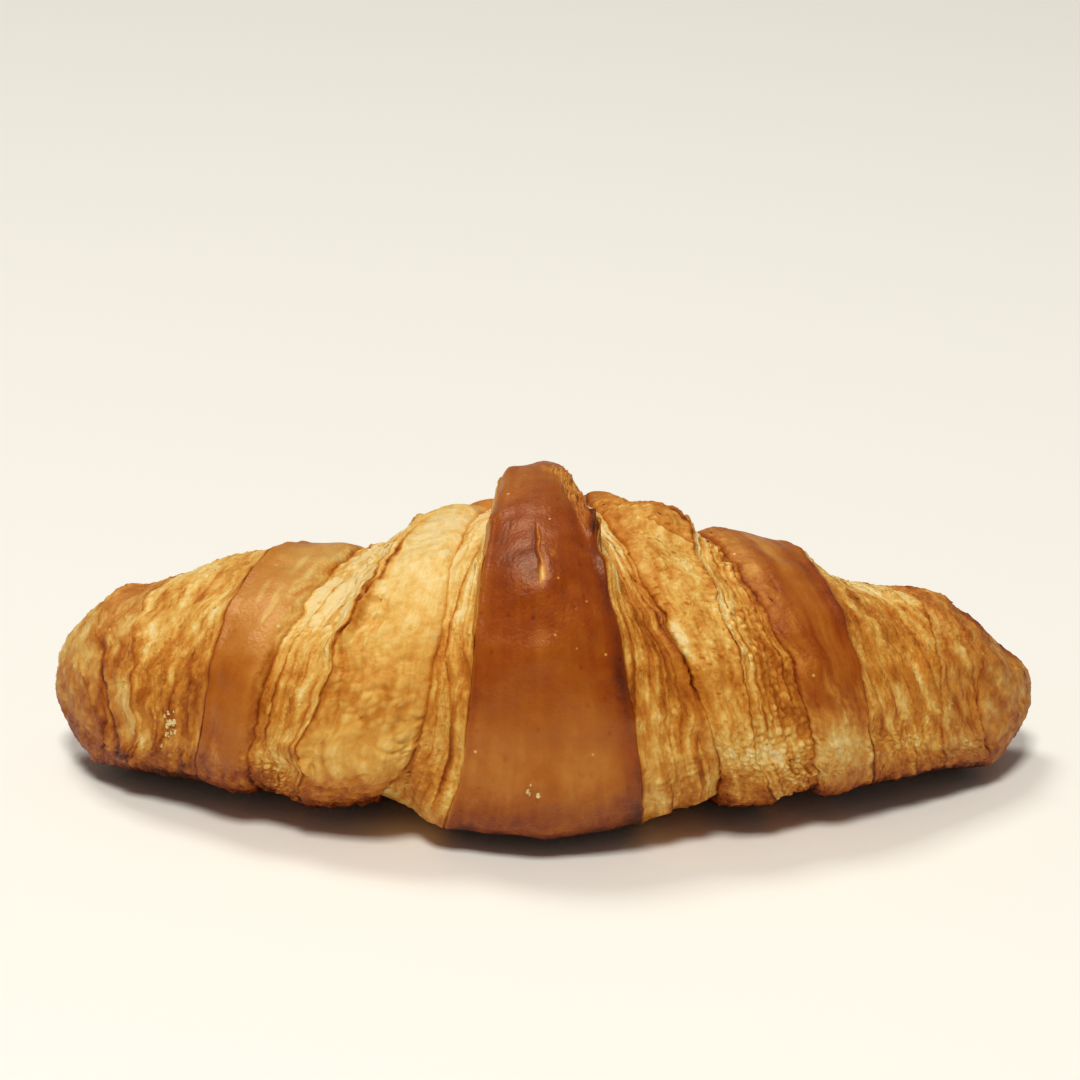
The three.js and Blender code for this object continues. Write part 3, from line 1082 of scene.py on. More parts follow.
@dataclass(frozen=True)
class Look:
    """How one stretch is coloured: the browning from the tray up over the top to the back, with painted
    shade near the tray in its darker foot and low levels.
    """

    # foot and low: browning, darkened further near the tray as painted shade of the roll's underside
    foot_browning_and_shade: float
    low: float
    front: float
    high: float
    top: float
    back: float
    inner: float = 0.0  # added at the stretch's inner edge
    outer: float = 0.0  # added at its outer edge
    edge: float = 0.06  # share of the stretch over which those fade
    glaze: float = 1.0
    glaze_low: float = 1.0  # glaze near the tray

    KNOTS = np.array([-90.0, -48, -30, -9, 15, 62, 95, 150, 220, 270])  # degrees
    FOOT_TO_LOW = 0.6  # how near the level between them is to the low one
    GLAZED_FROM, GLAZED_TO = (-45.0, 5.0), (195.0, 250.0)  # degrees

    def bake(self, at: Places) -> Array:
        """The browning over the stretch, with the painted shade near the tray, before its relief adds to it.

        Args:
            at: the places.

        Returns:
            Levels, mostly from 0 to 1.
        """
        knots = self.KNOTS
        levels = np.array([self.foot_browning_and_shade, self.foot_browning_and_shade, mix(self.foot_browning_and_shade, self.low, self.FOOT_TO_LOW), self.low,
                           self.front, self.high, self.top, self.back, self.back, self.foot_browning_and_shade])
        n = clamp(np.searchsorted(knots, at.degrees, side="right") - 1, 0, len(knots) - 2)
        level = mix(levels[n], levels[n + 1], ease(knots[n], knots[n + 1], at.degrees))
        inner, outer = np.exp(-at.share / self.edge), np.exp(-(1 - at.share) / self.edge)
        return level + self.inner * inner + self.outer * outer

    def wet(self, at: Places) -> Array:
        """The glaze over the stretch, from 0 to 1."""
        upper = ease(*self.GLAZED_FROM, at.degrees) * (1 - ease(*self.GLAZED_TO, at.degrees))
        return np.broadcast_to(mix(self.glaze_low, self.glaze, upper), at.across.shape)


# The pieces


@dataclass
class Stretch:
    """One closed piece of the crust between two rings, with its relief and browning."""

    name: str
    roll: Roll
    half: Half
    n: int
    look: Look
    slot: Slot
    patches: tuple[Patch, ...] = ()
    creases: tuple[Crease, ...] = ()
    across: float = 0.24  # size of a face across the stretch, mm
    around: float = 0.34  # size of a face round the roll, mm
    sink: float = 1.3  # how far the hidden rim dives under the neighbours, mm
    dive: float = 0.8  # how far it runs on beside them, mm
    lumps: float = 0.8
    seam_line: float = 0.2  # browning of the lines where it meets its neighbours
    coarse: tuple[int, int] = (4, 5)  # steps at which the scraps' carrier keeps points
    laid: dict[str, Array] = field(default_factory=dict, init=False)

    ROUGH_GRAIN, LUMP_GRAIN = Grain(77), Grain(5)
    ROUGH_CELLS = (0.8, 0.16)  # in a millimetre across and along the wraps
    LUMP_SIZE = np.array([13.0, 9.0, 9.0])  # mm
    SEAM_WIDTH = 0.025  # share of the stretch
    GIRTH_STEPS = 73
    NEAR_END = 0.999  # share at which the outer end is measured
    USUAL_WIDTH = 80  # percentile of the widths round the roll
    FEWEST_COLUMNS = 8
    LAID_OVER = (7.0, 14.0)  # mm over the tray over which scraps start to lie on the piece
    DEEPEST = 0.5  # share of the way to the middle that the rim may dive
    OFF_TRAY = 0.02  # mm between the hidden rim and the tray

    def cover(self, at: Places, rough: Array) -> Relief:
        """The relief, the browning and the glaze of the stretch, before its single forms.

        Args:
            at: the places.
            rough: noise shared by the patches.

        Returns:
            What the surface adds to the smooth form.
        """
        raise NotImplementedError

    def shares(self, count: int) -> Array:
        """The places of the columns across the stretch, from 0 to 1."""
        f = np.linspace(0, 1, count)
        return f[:-1] if self.n == LAST else f

    def smooth(self, f: Array, degrees: Array) -> Array:
        """The smooth form that the piece starts from."""
        return self.roll.surface(self.half, self.n, f, degrees)

    def singles(self, at: Places) -> Array:
        """The single forms that stand out of this piece."""
        return self.roll.single_forms(self.half, self.n + at.share, at.degrees)

    def places(self) -> Places:
        """Lays the piece's points out on the roll.

        Returns:
            The places, with faces of about the wanted size.
        """
        coarse = np.linspace(-90, 270, self.GIRTH_STEPS)[:-1]
        middle = self.roll.surface(self.half, self.n, np.array([0.5]), coarse)[0]
        girth = np.linalg.norm(np.roll(middle, -1, 0) - middle, axis=1).sum()
        k = int(girth / self.around)
        degrees = -90 + 360 * np.arange(k) / k
        ends = self.roll.surface(self.half, self.n, np.array([0.0, self.NEAR_END]), degrees)
        width = float(np.percentile(np.linalg.norm(ends[1] - ends[0], axis=1), self.USUAL_WIDTH))
        f = self.shares(max(self.FEWEST_COLUMNS, int(width / self.across)))
        start, stop = (self.roll.reach(self.half, n) for n in (self.n, self.n + 1))
        point = self.smooth(f, degrees)
        along = (start + f[:, None] * (stop - start)) * self.half.value
        return Places(
            half=self.half,
            share=f[:, None],
            side=(self.n + f[:, None]) * self.half.value,
            degrees=degrees[None],
            across=np.broadcast_to(along, point.shape[:2]),
            point=point,
        )

    def build(self) -> bpy.types.Object:
        """Builds the piece as one closed mesh with its attributes.

        Returns:
            The piece, at the origin and unturned.
        """
        at = self.places()
        across, along = self.ROUGH_CELLS
        flow = np.concatenate([at.flow[..., :1] * across, at.flow[..., 1:] * along], -1)
        rough = self.ROUGH_GRAIN.cloud(flow, 4)
        made = self.cover(at, rough)
        for patch in self.patches:
            made.bake = made.bake + patch.bake * patch.at(at, rough)
        for crease in self.creases:
            height, bake = crease.at(at, self.roll, rough)
            made.height, made.bake = made.height + height, made.bake + bake
        if self.n < LAST:
            seam = hump(at.share, 0, self.SEAM_WIDTH) + hump(at.share, 1, self.SEAM_WIDTH)
            made.bake = made.bake + self.seam_line * seam
        height = made.height + self.singles(at)
        height = height + self.lumps * self.LUMP_GRAIN.cloud(at.point / self.LUMP_SIZE, 3)
        normals = self._normals(at.point)
        moved = at.point + normals * (height * ease(0, self.roll.rise, at.point[..., 2]))[..., None]
        moved[..., 2] = np.maximum(0, moved[..., 2])
        self._lay(at, moved, made)
        return self._closed(moved, made.bake, clamp(made.glaze), at.flow)

    def _lay(self, at: Places, moved: Array, made: Relief) -> None:
        """Keeps a coarse copy of the surface for the scraps that lie on it.

        Args:
            at: the places.
            moved: the finished points in mm.
            made: the relief.
        """
        step = np.s_[:: self.coarse[0], :: self.coarse[1]]
        run = np.roll(moved, -1, 1) - np.roll(moved, 1, 1)
        clear = ease(*self.LAID_OVER, moved[..., 2]) * np.sin(np.pi * clamp(at.share)) ** 0.5
        self.laid = {
            "co": moved[step],
            FLOW: at.flow[step],
            LAY: run[step] / np.maximum(np.linalg.norm(run[step], axis=-1, keepdims=True), 1e-9),
            BAKE: made.bake[step],
            GLAZE: made.glaze[step],
            TAKE: (made.bare * clear)[step],
        }

    def _normals(self, points: Array) -> Array:
        """The outward normals of the smooth form.

        Args:
            points: its points in mm, shape (m, k, 3).

        Returns:
            Unit vectors of the same shape.
        """
        along = np.gradient(points, axis=0) * self.half.value
        round_ = np.roll(points, -1, 1) - np.roll(points, 1, 1)
        normal = np.cross(along, round_)
        return normal / np.maximum(np.linalg.norm(normal, axis=-1, keepdims=True), 1e-9)

    def _rim(self, edge: Array, way: float) -> Array:
        """The hidden rim that dives under a neighbour from one edge of the piece.

        Args:
            edge: the edge's points in mm.
            way: 1 at the outer edge and -1 at the inner one.

        Returns:
            The rim's points, one for each of the edge's.
        """
        inward = edge.mean(0) - edge
        far = np.linalg.norm(inward, axis=1, keepdims=True)
        sunk = edge + inward / far * np.minimum(self.sink, self.DEEPEST * far)
        sunk[:, 0] += way * self.half.value * self.dive
        sunk[:, 2] = np.maximum(self.OFF_TRAY, sunk[:, 2])
        return sunk

    def _closed(self, grid: Array, bake: Array, glaze: Array, flow: Array) -> bpy.types.Object:
        """Adds hidden rims and end faces to the grid and makes the object.

        Args:
            grid: the finished points in mm, shape (m, k, 3).
            bake: browning at the points.
            glaze: glaze at the points.
            flow: places that follow the wraps.

        Returns:
            The closed piece.
        """
        first = self._rim(grid[0], -1.0)
        rows, middles = [first[None], grid], [first.mean(0)]
        if self.n == LAST:
            pole = np.float64(self.half.value * self.roll.half_length)
            middles.append(self.roll.bent(pole, np.float64(0.0), grid[-1][:, 2].mean()))
        else:
            last = self._rim(grid[-1], 1.0)
            rows.append(last[None])
            middles.append(last.mean(0))
        points = np.concatenate(rows)
        m, k = points.shape[:2]
        vertices = np.concatenate([points.reshape(-1, 3), np.array(middles)]) * MM
        quads, fans = closed_faces(m, k)
        if self.half is Half.LEFT:
            quads, fans = quads[:, ::-1], fans[:, ::-1]
        tail = 0 if self.n == LAST else 1

        def spread(values: Array) -> Array:
            """Repeats the edge rows for the rims and adds one value for each middle."""
            rows = [values[:1], values, *([values[-1:]] * tail)]
            flat = np.concatenate(rows).reshape(m * k, -1)
            return np.concatenate([flat, flat[:1], flat[-1:]])

        values = {BAKE: spread(bake), GLAZE: spread(glaze), FLOW: spread(flow)}
        return new_object(self.name, vertices, (quads, fans), values)

    def dress(self, made: bpy.types.Object, material: bpy.types.Material) -> None:
        """Gives the piece its finish and parents it to the body's empty."""
        tie(made, material, self.slot)


def closed_faces(m: int, k: int) -> tuple[Array, Array]:
    """Faces of a tube of m rows of k points, with both ends closed by a fan.

    Args:
        m: rows.
        k: points in a row.

    Returns:
        The quads between the rows, and the triangles to the two middle points after them.
    """
    i, j = np.meshgrid(np.arange(m - 1), np.arange(k), indexing="ij")
    a, b = i * k + j, (i + 1) * k + j
    c, d = (i + 1) * k + (j + 1) % k, i * k + (j + 1) % k
    ring = np.arange(k)
    after = (ring + 1) % k
    fan_in = np.stack([np.full(k, m * k), ring, after], -1)
    fan_out = np.stack([np.full(k, m * k + 1), (m - 1) * k + after, (m - 1) * k + ring], -1)
    return np.stack([a, b, c, d], -1).reshape(-1, 4), np.concatenate([fan_in, fan_out])


def placed(name: str, data: bpy.types.ID) -> bpy.types.Object:
    """Makes an object and links it to the scene."""
    made = bpy.data.objects.new(name, data)
    bpy.context.scene.collection.objects.link(made)
    return made


def new_object(name: str, vertices: Array, faces: tuple[Array, ...], values: dict[str, Array],
               sharp: float = 62.0) -> bpy.types.Object:
    """Makes a smooth shaded mesh object with attributes at its points.

    Args:
        name: the object's name.
        vertices: points in metres, shape (n, 3).
        faces: arrays of faces, each of one corner count.
        values: attributes, of one or three numbers for each point.
        sharp: angle in degrees over which an edge stays sharp.

    Returns:
        The object, linked to the scene.
    """
    mesh = bpy.data.meshes.new(name)
    mesh.vertices.add(len(vertices))
    mesh.vertices.foreach_set("co", vertices.astype(np.float32).ravel())
    corners = np.concatenate([part.ravel() for part in faces])
    sizes = np.concatenate([np.full(len(part), part.shape[1]) for part in faces])
    mesh.loops.add(len(corners))
    mesh.loops.foreach_set("vertex_index", corners.astype(np.int32))
    mesh.polygons.add(len(sizes))
    mesh.polygons.foreach_set("loop_start", (np.cumsum(sizes) - sizes).astype(np.int32))
    mesh.polygons.foreach_set("use_smooth", np.ones(len(sizes), bool))
    mesh.update(calc_edges=True)
    mesh.set_sharp_from_angle(angle=math.radians(sharp))
    for label, given in values.items():
        flat = np.asarray(given, dtype=np.float32).reshape(len(vertices), -1)
        kind, key = ("FLOAT", "value") if flat.shape[1] == 1 else ("FLOAT_VECTOR", "vector")
        mesh.attributes.new(label, kind, "POINT").data.foreach_set(key, flat.ravel())
    return placed(name, mesh)


def tie(made: bpy.types.Object, material: bpy.types.Material, slot: Slot) -> None:
    """Gives a finished piece its material, parents it to the body's empty and hides the CAD part.

    Args:
        made: the piece.
        material: its material.
        slot: its finish slot, which is only logged.
    """
    made.data.materials.clear()
    made.data.materials.append(material)
    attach(made, BODY)
    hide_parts(CAD_NODE)
    log.info("%s: %d faces, slot %s", made.name, len(made.data.polygons), slot.value)


@dataclass
class SkinBand(Stretch):
    """A band of smooth outer skin, brushed with egg and browned."""

    crown: float = 1.5
    lip: float = 0.4
    starts: float = 0.0  # share of the stretch where the skin starts
    fray: float = 0.1  # share over which it does so
    ends_low: float = -200.0  # degrees under which the skin has worn off
    low_fray: float = 14.0  # degrees over which it does so
    layers: CutLayers = CutLayers(seed=64)
    skin: WholeSkin = WholeSkin()
    under: float = -0.25  # browning added where the layers show

    LIP_RISE, LIP_DROP = (0.84, 0.98), 0.9  # where the lip rises, and how far it drops at the edge
    CROWN_CURVE = 0.6
    START_WANDER, LOW_WANDER = 0.3, 26.0  # share of the fray, degrees
    BACK_FROM = 150.0  # degrees from which the back is whole skin
    WORN_DEPTH = 0.2  # mm that worn places lie lower
    WORN_GLAZE, WORN_SCRAPS = 0.25, 0.6

    def swell(self, at: Places) -> Array:
        """The band's own form: a crown and a raised outer edge."""
        edge = ease(*self.LIP_RISE, at.share) * (1 - self.LIP_DROP * ease(self.LIP_RISE[1], 1, at.share))
        return self.crown * np.sin(np.pi * at.share**self.CROWN_CURVE) + self.lip * edge

    def whole(self, at: Places, rough: Array) -> Array:
        """How much whole skin there is.

        Args:
            at: the places.
            rough: noise that makes its outline ragged.

        Returns:
            1 on skin and 0 where it is worn off.
        """
        share = np.ones(at.across.shape)
        if self.starts:
            wander = self.START_WANDER * rough * self.fray
            share = ease(-self.fray, self.fray, at.share - self.starts + wander)
        low = at.degrees - self.ends_low + self.LOW_WANDER * rough
        front = ease(-self.low_fray, self.low_fray, low)
        share = share * np.where(at.degrees > self.BACK_FROM, 1.0, front)
        for patch in self.patches:
            share = share * (1 - patch.worn * patch.at(at, rough))
        return clamp(share)

    def cover(self, at: Places, rough: Array) -> Relief:
        """Swells the skin, wears it off where the layers show, and browns it. See Stretch.cover."""
        whole = self.whole(at, rough)
        height, bake = self.skin.at(at)
        if whole.min() < 0.99:
            open_height, open_bake = self.layers.at(at)
            height = mix(open_height - self.WORN_DEPTH, height, whole)
            bake = mix(open_bake + self.under, bake, whole)
        glaze = self.look.wet(at) * (self.WORN_GLAZE + (1 - self.WORN_GLAZE) * whole)
        return Relief(self.swell(at) + height, self.look.bake(at) + bake, glaze,
                      self.WORN_SCRAPS * (1 - whole))


@dataclass
class BlisteredBand(SkinBand):
    """A pale band whose front blistered open; its back is whole skin."""

    dough: OpenDough = OpenDough(seed=31)
    open_to: float = 128.0  # degrees over which the band is whole skin
    open_glaze: float = 0.3
    open_fray: float = 16.0  # degrees

    OPEN_WANDER = 10.0  # degrees
    OPEN_SCRAPS = 0.25

    def cover(self, at: Places, rough: Array) -> Relief:
        """Opens the front of the band and leaves skin behind. See Stretch.cover."""
        whole = ease(-self.open_fray, self.open_fray, at.degrees - self.open_to + self.OPEN_WANDER * rough)
        height, bake = self.dough.at(at)
        skin_height, skin_bake = self.skin.at(at)
        height, bake = mix(height, skin_height, whole), mix(bake, skin_bake, whole)
        glaze = self.look.wet(at) * mix(self.open_glaze, 1.0, whole)
        return Relief(self.swell(at) + height, self.look.bake(at) + bake, glaze,
                      self.OPEN_SCRAPS * (1 - whole))


@dataclass
class Tongue(SkinBand):
    """The point of the dough, drawn over the ridge: the middle stretch of both halves."""

    seam: float = 0.014  # share of its width that the pale cut edge takes
    seam_bake: float = -0.3
    dark_side: float = 0.2  # browning added along its right edge
    fall: tuple[float, float] = (1.6, 2.2)  # mm that its ridge falls to the left and right edge

    LIP_RISE = (0.88, 0.98)  # from the middle, 0, to an edge, 1
    RIGHT_CUT = 0.3  # how much of the pale cut edge is left on the right
    DARK_FROM, DARK_WANDER, DARK_HEIGHT = (0.66, 1.0), 0.03, (72.0, 20.0)  # shares and degrees

    def shares(self, count: int) -> Array:
        """The places of the columns from the left edge, -1, to the right edge, 1."""
        return np.linspace(-1, 1, 2 * count)

    def places(self) -> Places:
        """Lays the piece's points out over both halves.

        Returns:
            The places, whose shares run from -1 to 1.
        """
        at = super().places()
        left, right = (self.roll.reach(half, 1) for half in (Half.LEFT, Half.RIGHT))
        across = np.where(at.share < 0, at.share * left, at.share * right)
        return Places(at.half, at.share, at.share, at.degrees,
                      np.broadcast_to(across, at.point.shape[:2]), at.point)

    def smooth(self, f: Array, degrees: Array) -> Array:
        """Both halves' smooth form, side by side."""
        left = self.roll.surface(Half.LEFT, 0, -f[f < 0], degrees)
        right = self.roll.surface(Half.RIGHT, 0, f[f >= 0], degrees)
        return np.concatenate([left, right])

    def singles(self, at: Places) -> Array:
        """The single forms of both halves."""
        left = self.roll.single_forms(Half.LEFT, -at.share, at.degrees) * (at.share < 0)
        return left + self.roll.single_forms(Half.RIGHT, at.share, at.degrees) * (at.share >= 0)

    def swell(self, at: Places) -> Array:
        """The tongue's own form: a low crown and thin edges.

        Args:
            at: the places.

        Returns:
            Height in mm.
        """
        far = np.abs(at.share)
        edge = ease(*self.LIP_RISE, far) * (1 - ease(self.LIP_RISE[1], 1, far))
        fall = mix(self.fall[0], self.fall[1], at.share > 0) * clamp(np.sin(np.radians(at.degrees)))
        rounding = fall * (far - far * far)
        return self.roll.tongue(at.degrees) * (self.crown * (1 - far * far) + self.lip * edge + rounding)

    def cover(self, at: Places, rough: Array) -> Relief:
        """Browns the tongue and shows its cut edges. See Stretch.cover."""
        made = super().cover(at, rough)
        tongue = self.roll.tongue(at.degrees)
        cut = np.exp(-(1 - np.abs(at.share)) / self.seam) * mix(1.0, self.RIGHT_CUT, at.share > 0)
        shade = self.dark_side * ease(*self.DARK_FROM, at.share + self.DARK_WANDER * rough)
        shade = shade * ease(*self.DARK_HEIGHT, at.degrees)
        made.bake = made.bake + tongue * (self.seam_bake * cut + shade * (1 - cut))
        return made


@dataclass
class CutFace(Stretch):
    """The open cut edge of the layers between two wraps."""

    layers: CutLayers = CutLayers(seed=40)
    sag: float = 0.5
    lip: float = 0.2
    fade: float = 0.35  # how much of the relief is left at the edges

    OPEN_CURVE, LIP_WIDTH = 0.6, 0.05
    GLAZE, GLAZE_PATCHES = 0.5, 0.5
    CALMER, PALER, DRIER = 0.4, 0.2, 0.5  # how much less relief, browning and glaze off the tongue

    def cover(self, at: Places, rough: Array) -> Relief:
        """Sets the layers on edge, one behind the other. See Stretch.cover."""
        tongue = self.roll.tongue(at.degrees) if self.n < 2 else 1.0
        height, bake = self.layers.at(at)
        inside = np.sin(np.pi * clamp(at.share)) ** self.OPEN_CURVE
        height = height * mix(self.fade, 1.0, inside) - self.sag * tongue * inside
        height = height + self.lip * hump(at.share, 0, self.LIP_WIDTH)
        glaze = self.look.wet(at) * clamp(self.GLAZE + self.GLAZE_PATCHES * rough)
        whole = np.broadcast_to(1 - tongue, height.shape)
        bake = self.look.bake(at) + bake * (1 - self.PALER * whole)
        return Relief(height * (1 - self.CALMER * whole), bake, glaze * (1 - self.DRIER * whole), 1 - whole)


@dataclass
class RollTip(CutFace):
    """The worn outer wraps: the last stretch before the tip, and the blunt tip itself."""

    RELIEF, END_RELIEF = 0.85, 0.35  # how much relief there is, and how much at the very end
    GLAZE_PATCHES = 0.4
    LEAST_BROWNING = 0.4
    SCRAPS = 0.7

    def cover(self, at: Places, rough: Array) -> Relief:
        """Streaks the end of the roll with thin worn sheets. See Stretch.cover."""
        height, bake = self.layers.at(at)
        calm = mix(self.RELIEF, self.END_RELIEF, at.share**2) if self.n == LAST else self.RELIEF
        glaze = self.look.wet(at) * clamp(self.GLAZE + self.GLAZE_PATCHES * rough)
        bare = np.broadcast_to(self.SCRAPS * np.asarray(calm), height.shape)
        bake = self.look.bake(at) + bake * mix(self.LEAST_BROWNING, 1.0, calm)
        return Relief(height * calm, bake, glaze, bare)


# Scraps and crumbs


def slab(top: Array, bottom: Array) -> tuple[Array, Array]:
    """Closes two grids of points into one thin solid.

    Args:
        top: upper points, shape (a, b, 3).
        bottom: lower points, of the same shape.

    Returns:
        All points and the quads, facing outwards.
    """
    a, b = top.shape[:2]
    number = np.arange(a * b).reshape(a, b)
    upper = np.stack([number[:-1, :-1], number[1:, :-1], number[1:, 1:], number[:-1, 1:]], -1).reshape(-1, 4)
    lower = upper[:, ::-1] + a * b
    loop = np.concatenate([number[:-1, 0], number[-1, :-1], number[:0:-1, -1], number[0, :0:-1]])
    after = np.roll(loop, -1)
    sides = np.stack([loop, loop + a * b, after + a * b, after], -1)
    points = np.concatenate([top.reshape(-1, 3), bottom.reshape(-1, 3)])
    return points, np.concatenate([upper, lower, sides])


@dataclass(frozen=True)
class SmallShape:
    """One small shape that is laid many times: a thin scrap or a crumb, in millimetres."""

    name: str
    length: float
    width: float
    thickness: float
    curl: float  # how far its ends and its far edge lift
    ragged: float
    seed: int
    columns: int = 7
    rows: int = 4

    NOISE_CELLS = (2.3, 1.7)  # in half a length and in half a width
    OUTLINE, END_CURVE, SIDE_CURVE = 1.02, 2.4, 0.6
    END_RAGGED = 0.1
    CURLS, UNEVEN = (0.5, 0.35), 0.2  # how its ends and its far edge lift, and its waves
    THIN_EDGE = 0.6
    SHARP = 40.0  # degrees

    def build(self) -> bpy.types.Object:
        """Builds the shape at the origin, its length along X and its upper side up.

        Returns:
            The shape.
        """
        u, v = np.meshgrid(np.linspace(-1, 1, self.columns), np.linspace(-1, 1, self.rows), indexing="ij")
        cells = np.stack([u * self.NOISE_CELLS[0], v * self.NOISE_CELLS[1], u * 0], -1)
        noise = Grain(self.seed).soft(cells)
        outline = (self.OUTLINE - np.abs(u) ** self.END_CURVE) ** self.SIDE_CURVE
        half = 0.5 * self.width * outline * (1 + self.ragged * noise)
        x = 0.5 * self.length * u * (1 + self.END_RAGGED * self.ragged * noise)
        ends, edge = self.CURLS
        z = self.curl * (ends * u * u + edge * (1 + v)) + self.UNEVEN * self.thickness * noise
        thick = self.thickness * (1 - self.THIN_EDGE * np.maximum(np.abs(u), np.abs(v)) ** 2)
        top, bottom = np.stack([x, half * v, z + thick], -1), np.stack([x, half * v, z], -1)
        points, faces = slab(top, bottom)
        return new_object(self.name, points * MM, (faces,), {}, sharp=self.SHARP)


class LayingTree:
    """The geometry node tree that lays copies of a small shape over a surface."""

    INPUTS = (
        ("Shape", "NodeSocketObject"),
        ("Finish", "NodeSocketMaterial"),
        ("Where", "NodeSocketString"),
        ("Density", "NodeSocketFloat"),
        ("Seed", "NodeSocketInt"),
        ("Smallest", "NodeSocketFloat"),
        ("Largest", "NodeSocketFloat"),
        ("Tilt", "NodeSocketFloat"),
        ("Browning", "NodeSocketFloat"),
    )
    RANDOM_VECTOR = (0, 1, 0)  # sockets of least, most and result
    RANDOM_NUMBER = (2, 3, 1)
    RANDOM_SEED = 8
    LEAST_TURN = (0.0, -0.12, -0.22)  # radians
    MOST_TURN = (0.12, 0.22)

    def __init__(self) -> None:
        """Builds the tree once."""
        self.tree = bpy.data.node_groups.new("lay small shapes", "GeometryNodeTree")
        face = self.tree.interface
        face.new_socket("Geometry", in_out="INPUT", socket_type="NodeSocketGeometry")
        for label, kind in self.INPUTS:
            face.new_socket(label, in_out="INPUT", socket_type=kind)
        face.new_socket("Geometry", in_out="OUTPUT", socket_type="NodeSocketGeometry")
        self.given = self.tree.nodes.new("NodeGroupInput").outputs
        self.wiring = Wiring(self.tree)
        self._fill()

    def _random(self, least: object, most: object, kind: str, sockets: tuple[int, int, int]) -> object:
        """Adds a random value between two limits, with the tree's own seed."""
        given = {sockets[0]: least, sockets[1]: most, self.RANDOM_SEED: self.given["Seed"]}
        return self.wiring.node("FunctionNodeRandomValue", given, data_type=kind).outputs[sockets[2]]

    def _named(self, name: object, kind: str) -> bpy.types.NodeSocket:
        """Reads a named attribute of the surface."""
        node = self.wiring.node("GeometryNodeInputNamedAttribute", {"Name": name}, data_type=kind)
        return node.outputs["Attribute"]

    def _fill(self) -> None:
        """Links the nodes from the surface to the laid copies."""
        given, node, maths = self.given, self.wiring.node, self.wiring.maths
        share = maths("MULTIPLY", given["Density"], self._named(given["Where"], "FLOAT"))
        points = node("GeometryNodeDistributePointsOnFaces",
                      {"Mesh": given["Geometry"], "Density": share, "Seed": given["Seed"]})
        baked = maths("ADD", self._named(BAKE, "FLOAT"), given["Browning"])
        kept = node("GeometryNodeStoreNamedAttribute",
                    {"Geometry": points.outputs["Points"], "Name": BAKE, "Value": baked},
                    data_type="FLOAT", domain="POINT")
        up = node("FunctionNodeAlignRotationToVector", {"Vector": points.outputs["Normal"]}, axis="Z")
        along = node("FunctionNodeAlignRotationToVector",
                     {"Rotation": up.outputs["Rotation"], "Vector": self._named(LAY, "FLOAT_VECTOR")},
                     axis="X", pivot_axis="Z")
        tilts = {0: given["Tilt"], 1: self.MOST_TURN[0], 2: self.MOST_TURN[1]}
        most = node("ShaderNodeCombineXYZ", tilts).outputs[0]
        turn = self._random(self.LEAST_TURN, most, "FLOAT_VECTOR", self.RANDOM_VECTOR)
        turned = node("FunctionNodeRotateRotation",
                      {"Rotation": along.outputs["Rotation"], "Rotate By": turn}, rotation_space="LOCAL")
        scale = self._random(given["Smallest"], given["Largest"], "FLOAT", self.RANDOM_NUMBER)
        shape = node("GeometryNodeObjectInfo", {"Object": given["Shape"]})
        laid = node("GeometryNodeInstanceOnPoints", {
            "Points": kept.outputs["Geometry"], "Instance": shape.outputs["Geometry"],
            "Rotation": turned.outputs["Rotation"], "Scale": scale})
        real = node("GeometryNodeRealizeInstances", {"Geometry": laid.outputs["Instances"]})
        last = node("GeometryNodeSetMaterial",
                    {"Geometry": real.outputs["Geometry"], "Material": given["Finish"]})
        node("NodeGroupOutput", {"Geometry": last.outputs["Geometry"]})

    def socket(self, label: str) -> str:
        """The identifier of a named input."""
        return next(item.identifier for item in self.tree.interface.items_tree
                    if item.in_out == "INPUT" and item.name == label)


@dataclass(frozen=True)
class Scatter:
    """Copies of one small shape laid over the crust as one piece."""

    name: str
    shape: SmallShape
    where: str  # the surface's attribute that says where they lie
    per_square_mm: float
    seed: int
    sizes: tuple[float, float]  # scales of the smallest and the largest
    tilt: float  # radians
    browning: float  # added to that of the crust below
    slot: Slot = Slot.LAYERS

    def lay(self, surface: bpy.types.Object, tree: LayingTree,
            material: bpy.types.Material) -> bpy.types.Object:
        """Lays the copies and keeps them as a plain mesh.

        Args:
            surface: the object whose surface carries them.
            tree: the node tree.
            material: their finish.

        Returns:
            The piece.
        """
        shape = self.shape.build()
        modifier = surface.modifiers.new(self.name, "NODES")
        modifier.node_group = tree.tree
        given = {
            "Shape": shape, "Finish": material, "Where": self.where, "Density": self.per_square_mm / MM**2,
            "Seed": self.seed, "Smallest": self.sizes[0], "Largest": self.sizes[1], "Tilt": self.tilt,
            "Browning": self.browning,
        }
        for label, value in given.items():
            modifier[tree.socket(label)] = value
        graph = bpy.context.evaluated_depsgraph_get()
        mesh = bpy.data.meshes.new_from_object(surface.evaluated_get(graph), depsgraph=graph)
        mesh.name = self.name
        surface.modifiers.remove(modifier)
        bpy.data.objects.remove(shape)
        made = placed(self.name, mesh)
        tie(made, material, self.slot)
        return made


# The studio


@dataclass(frozen=True)
class Lamp:
    """One soft lamp, in millimetres and watts."""

    name: str
    place: tuple[float, float, float]
    size: float
    watts: float
    towards: tuple[float, float, float] = (0.0, 0.0, 20.0)
    colour: tuple[float, float, float] = (1.0, 0.985, 0.96)
    shines: bool = True  # whether glossy surfaces mirror it
    lights: bool = True  # whether matt surfaces are lit by it

    def hang(self) -> None:
        """Hangs the lamp and turns it to its aim."""
        data = bpy.data.lights.new(self.name, "AREA")
        data.size = self.size * MM
        data.energy = self.watts
        data.color = self.colour
        lamp = placed(self.name, data)
        lamp.location = Vector(self.place) * MM
        lamp.visible_glossy = self.shines
        lamp.visible_diffuse = self.lights
        aim = Vector(self.towards) - Vector(self.place)
        lamp.rotation_euler = aim.to_track_quat("-Z", "Y").to_euler()


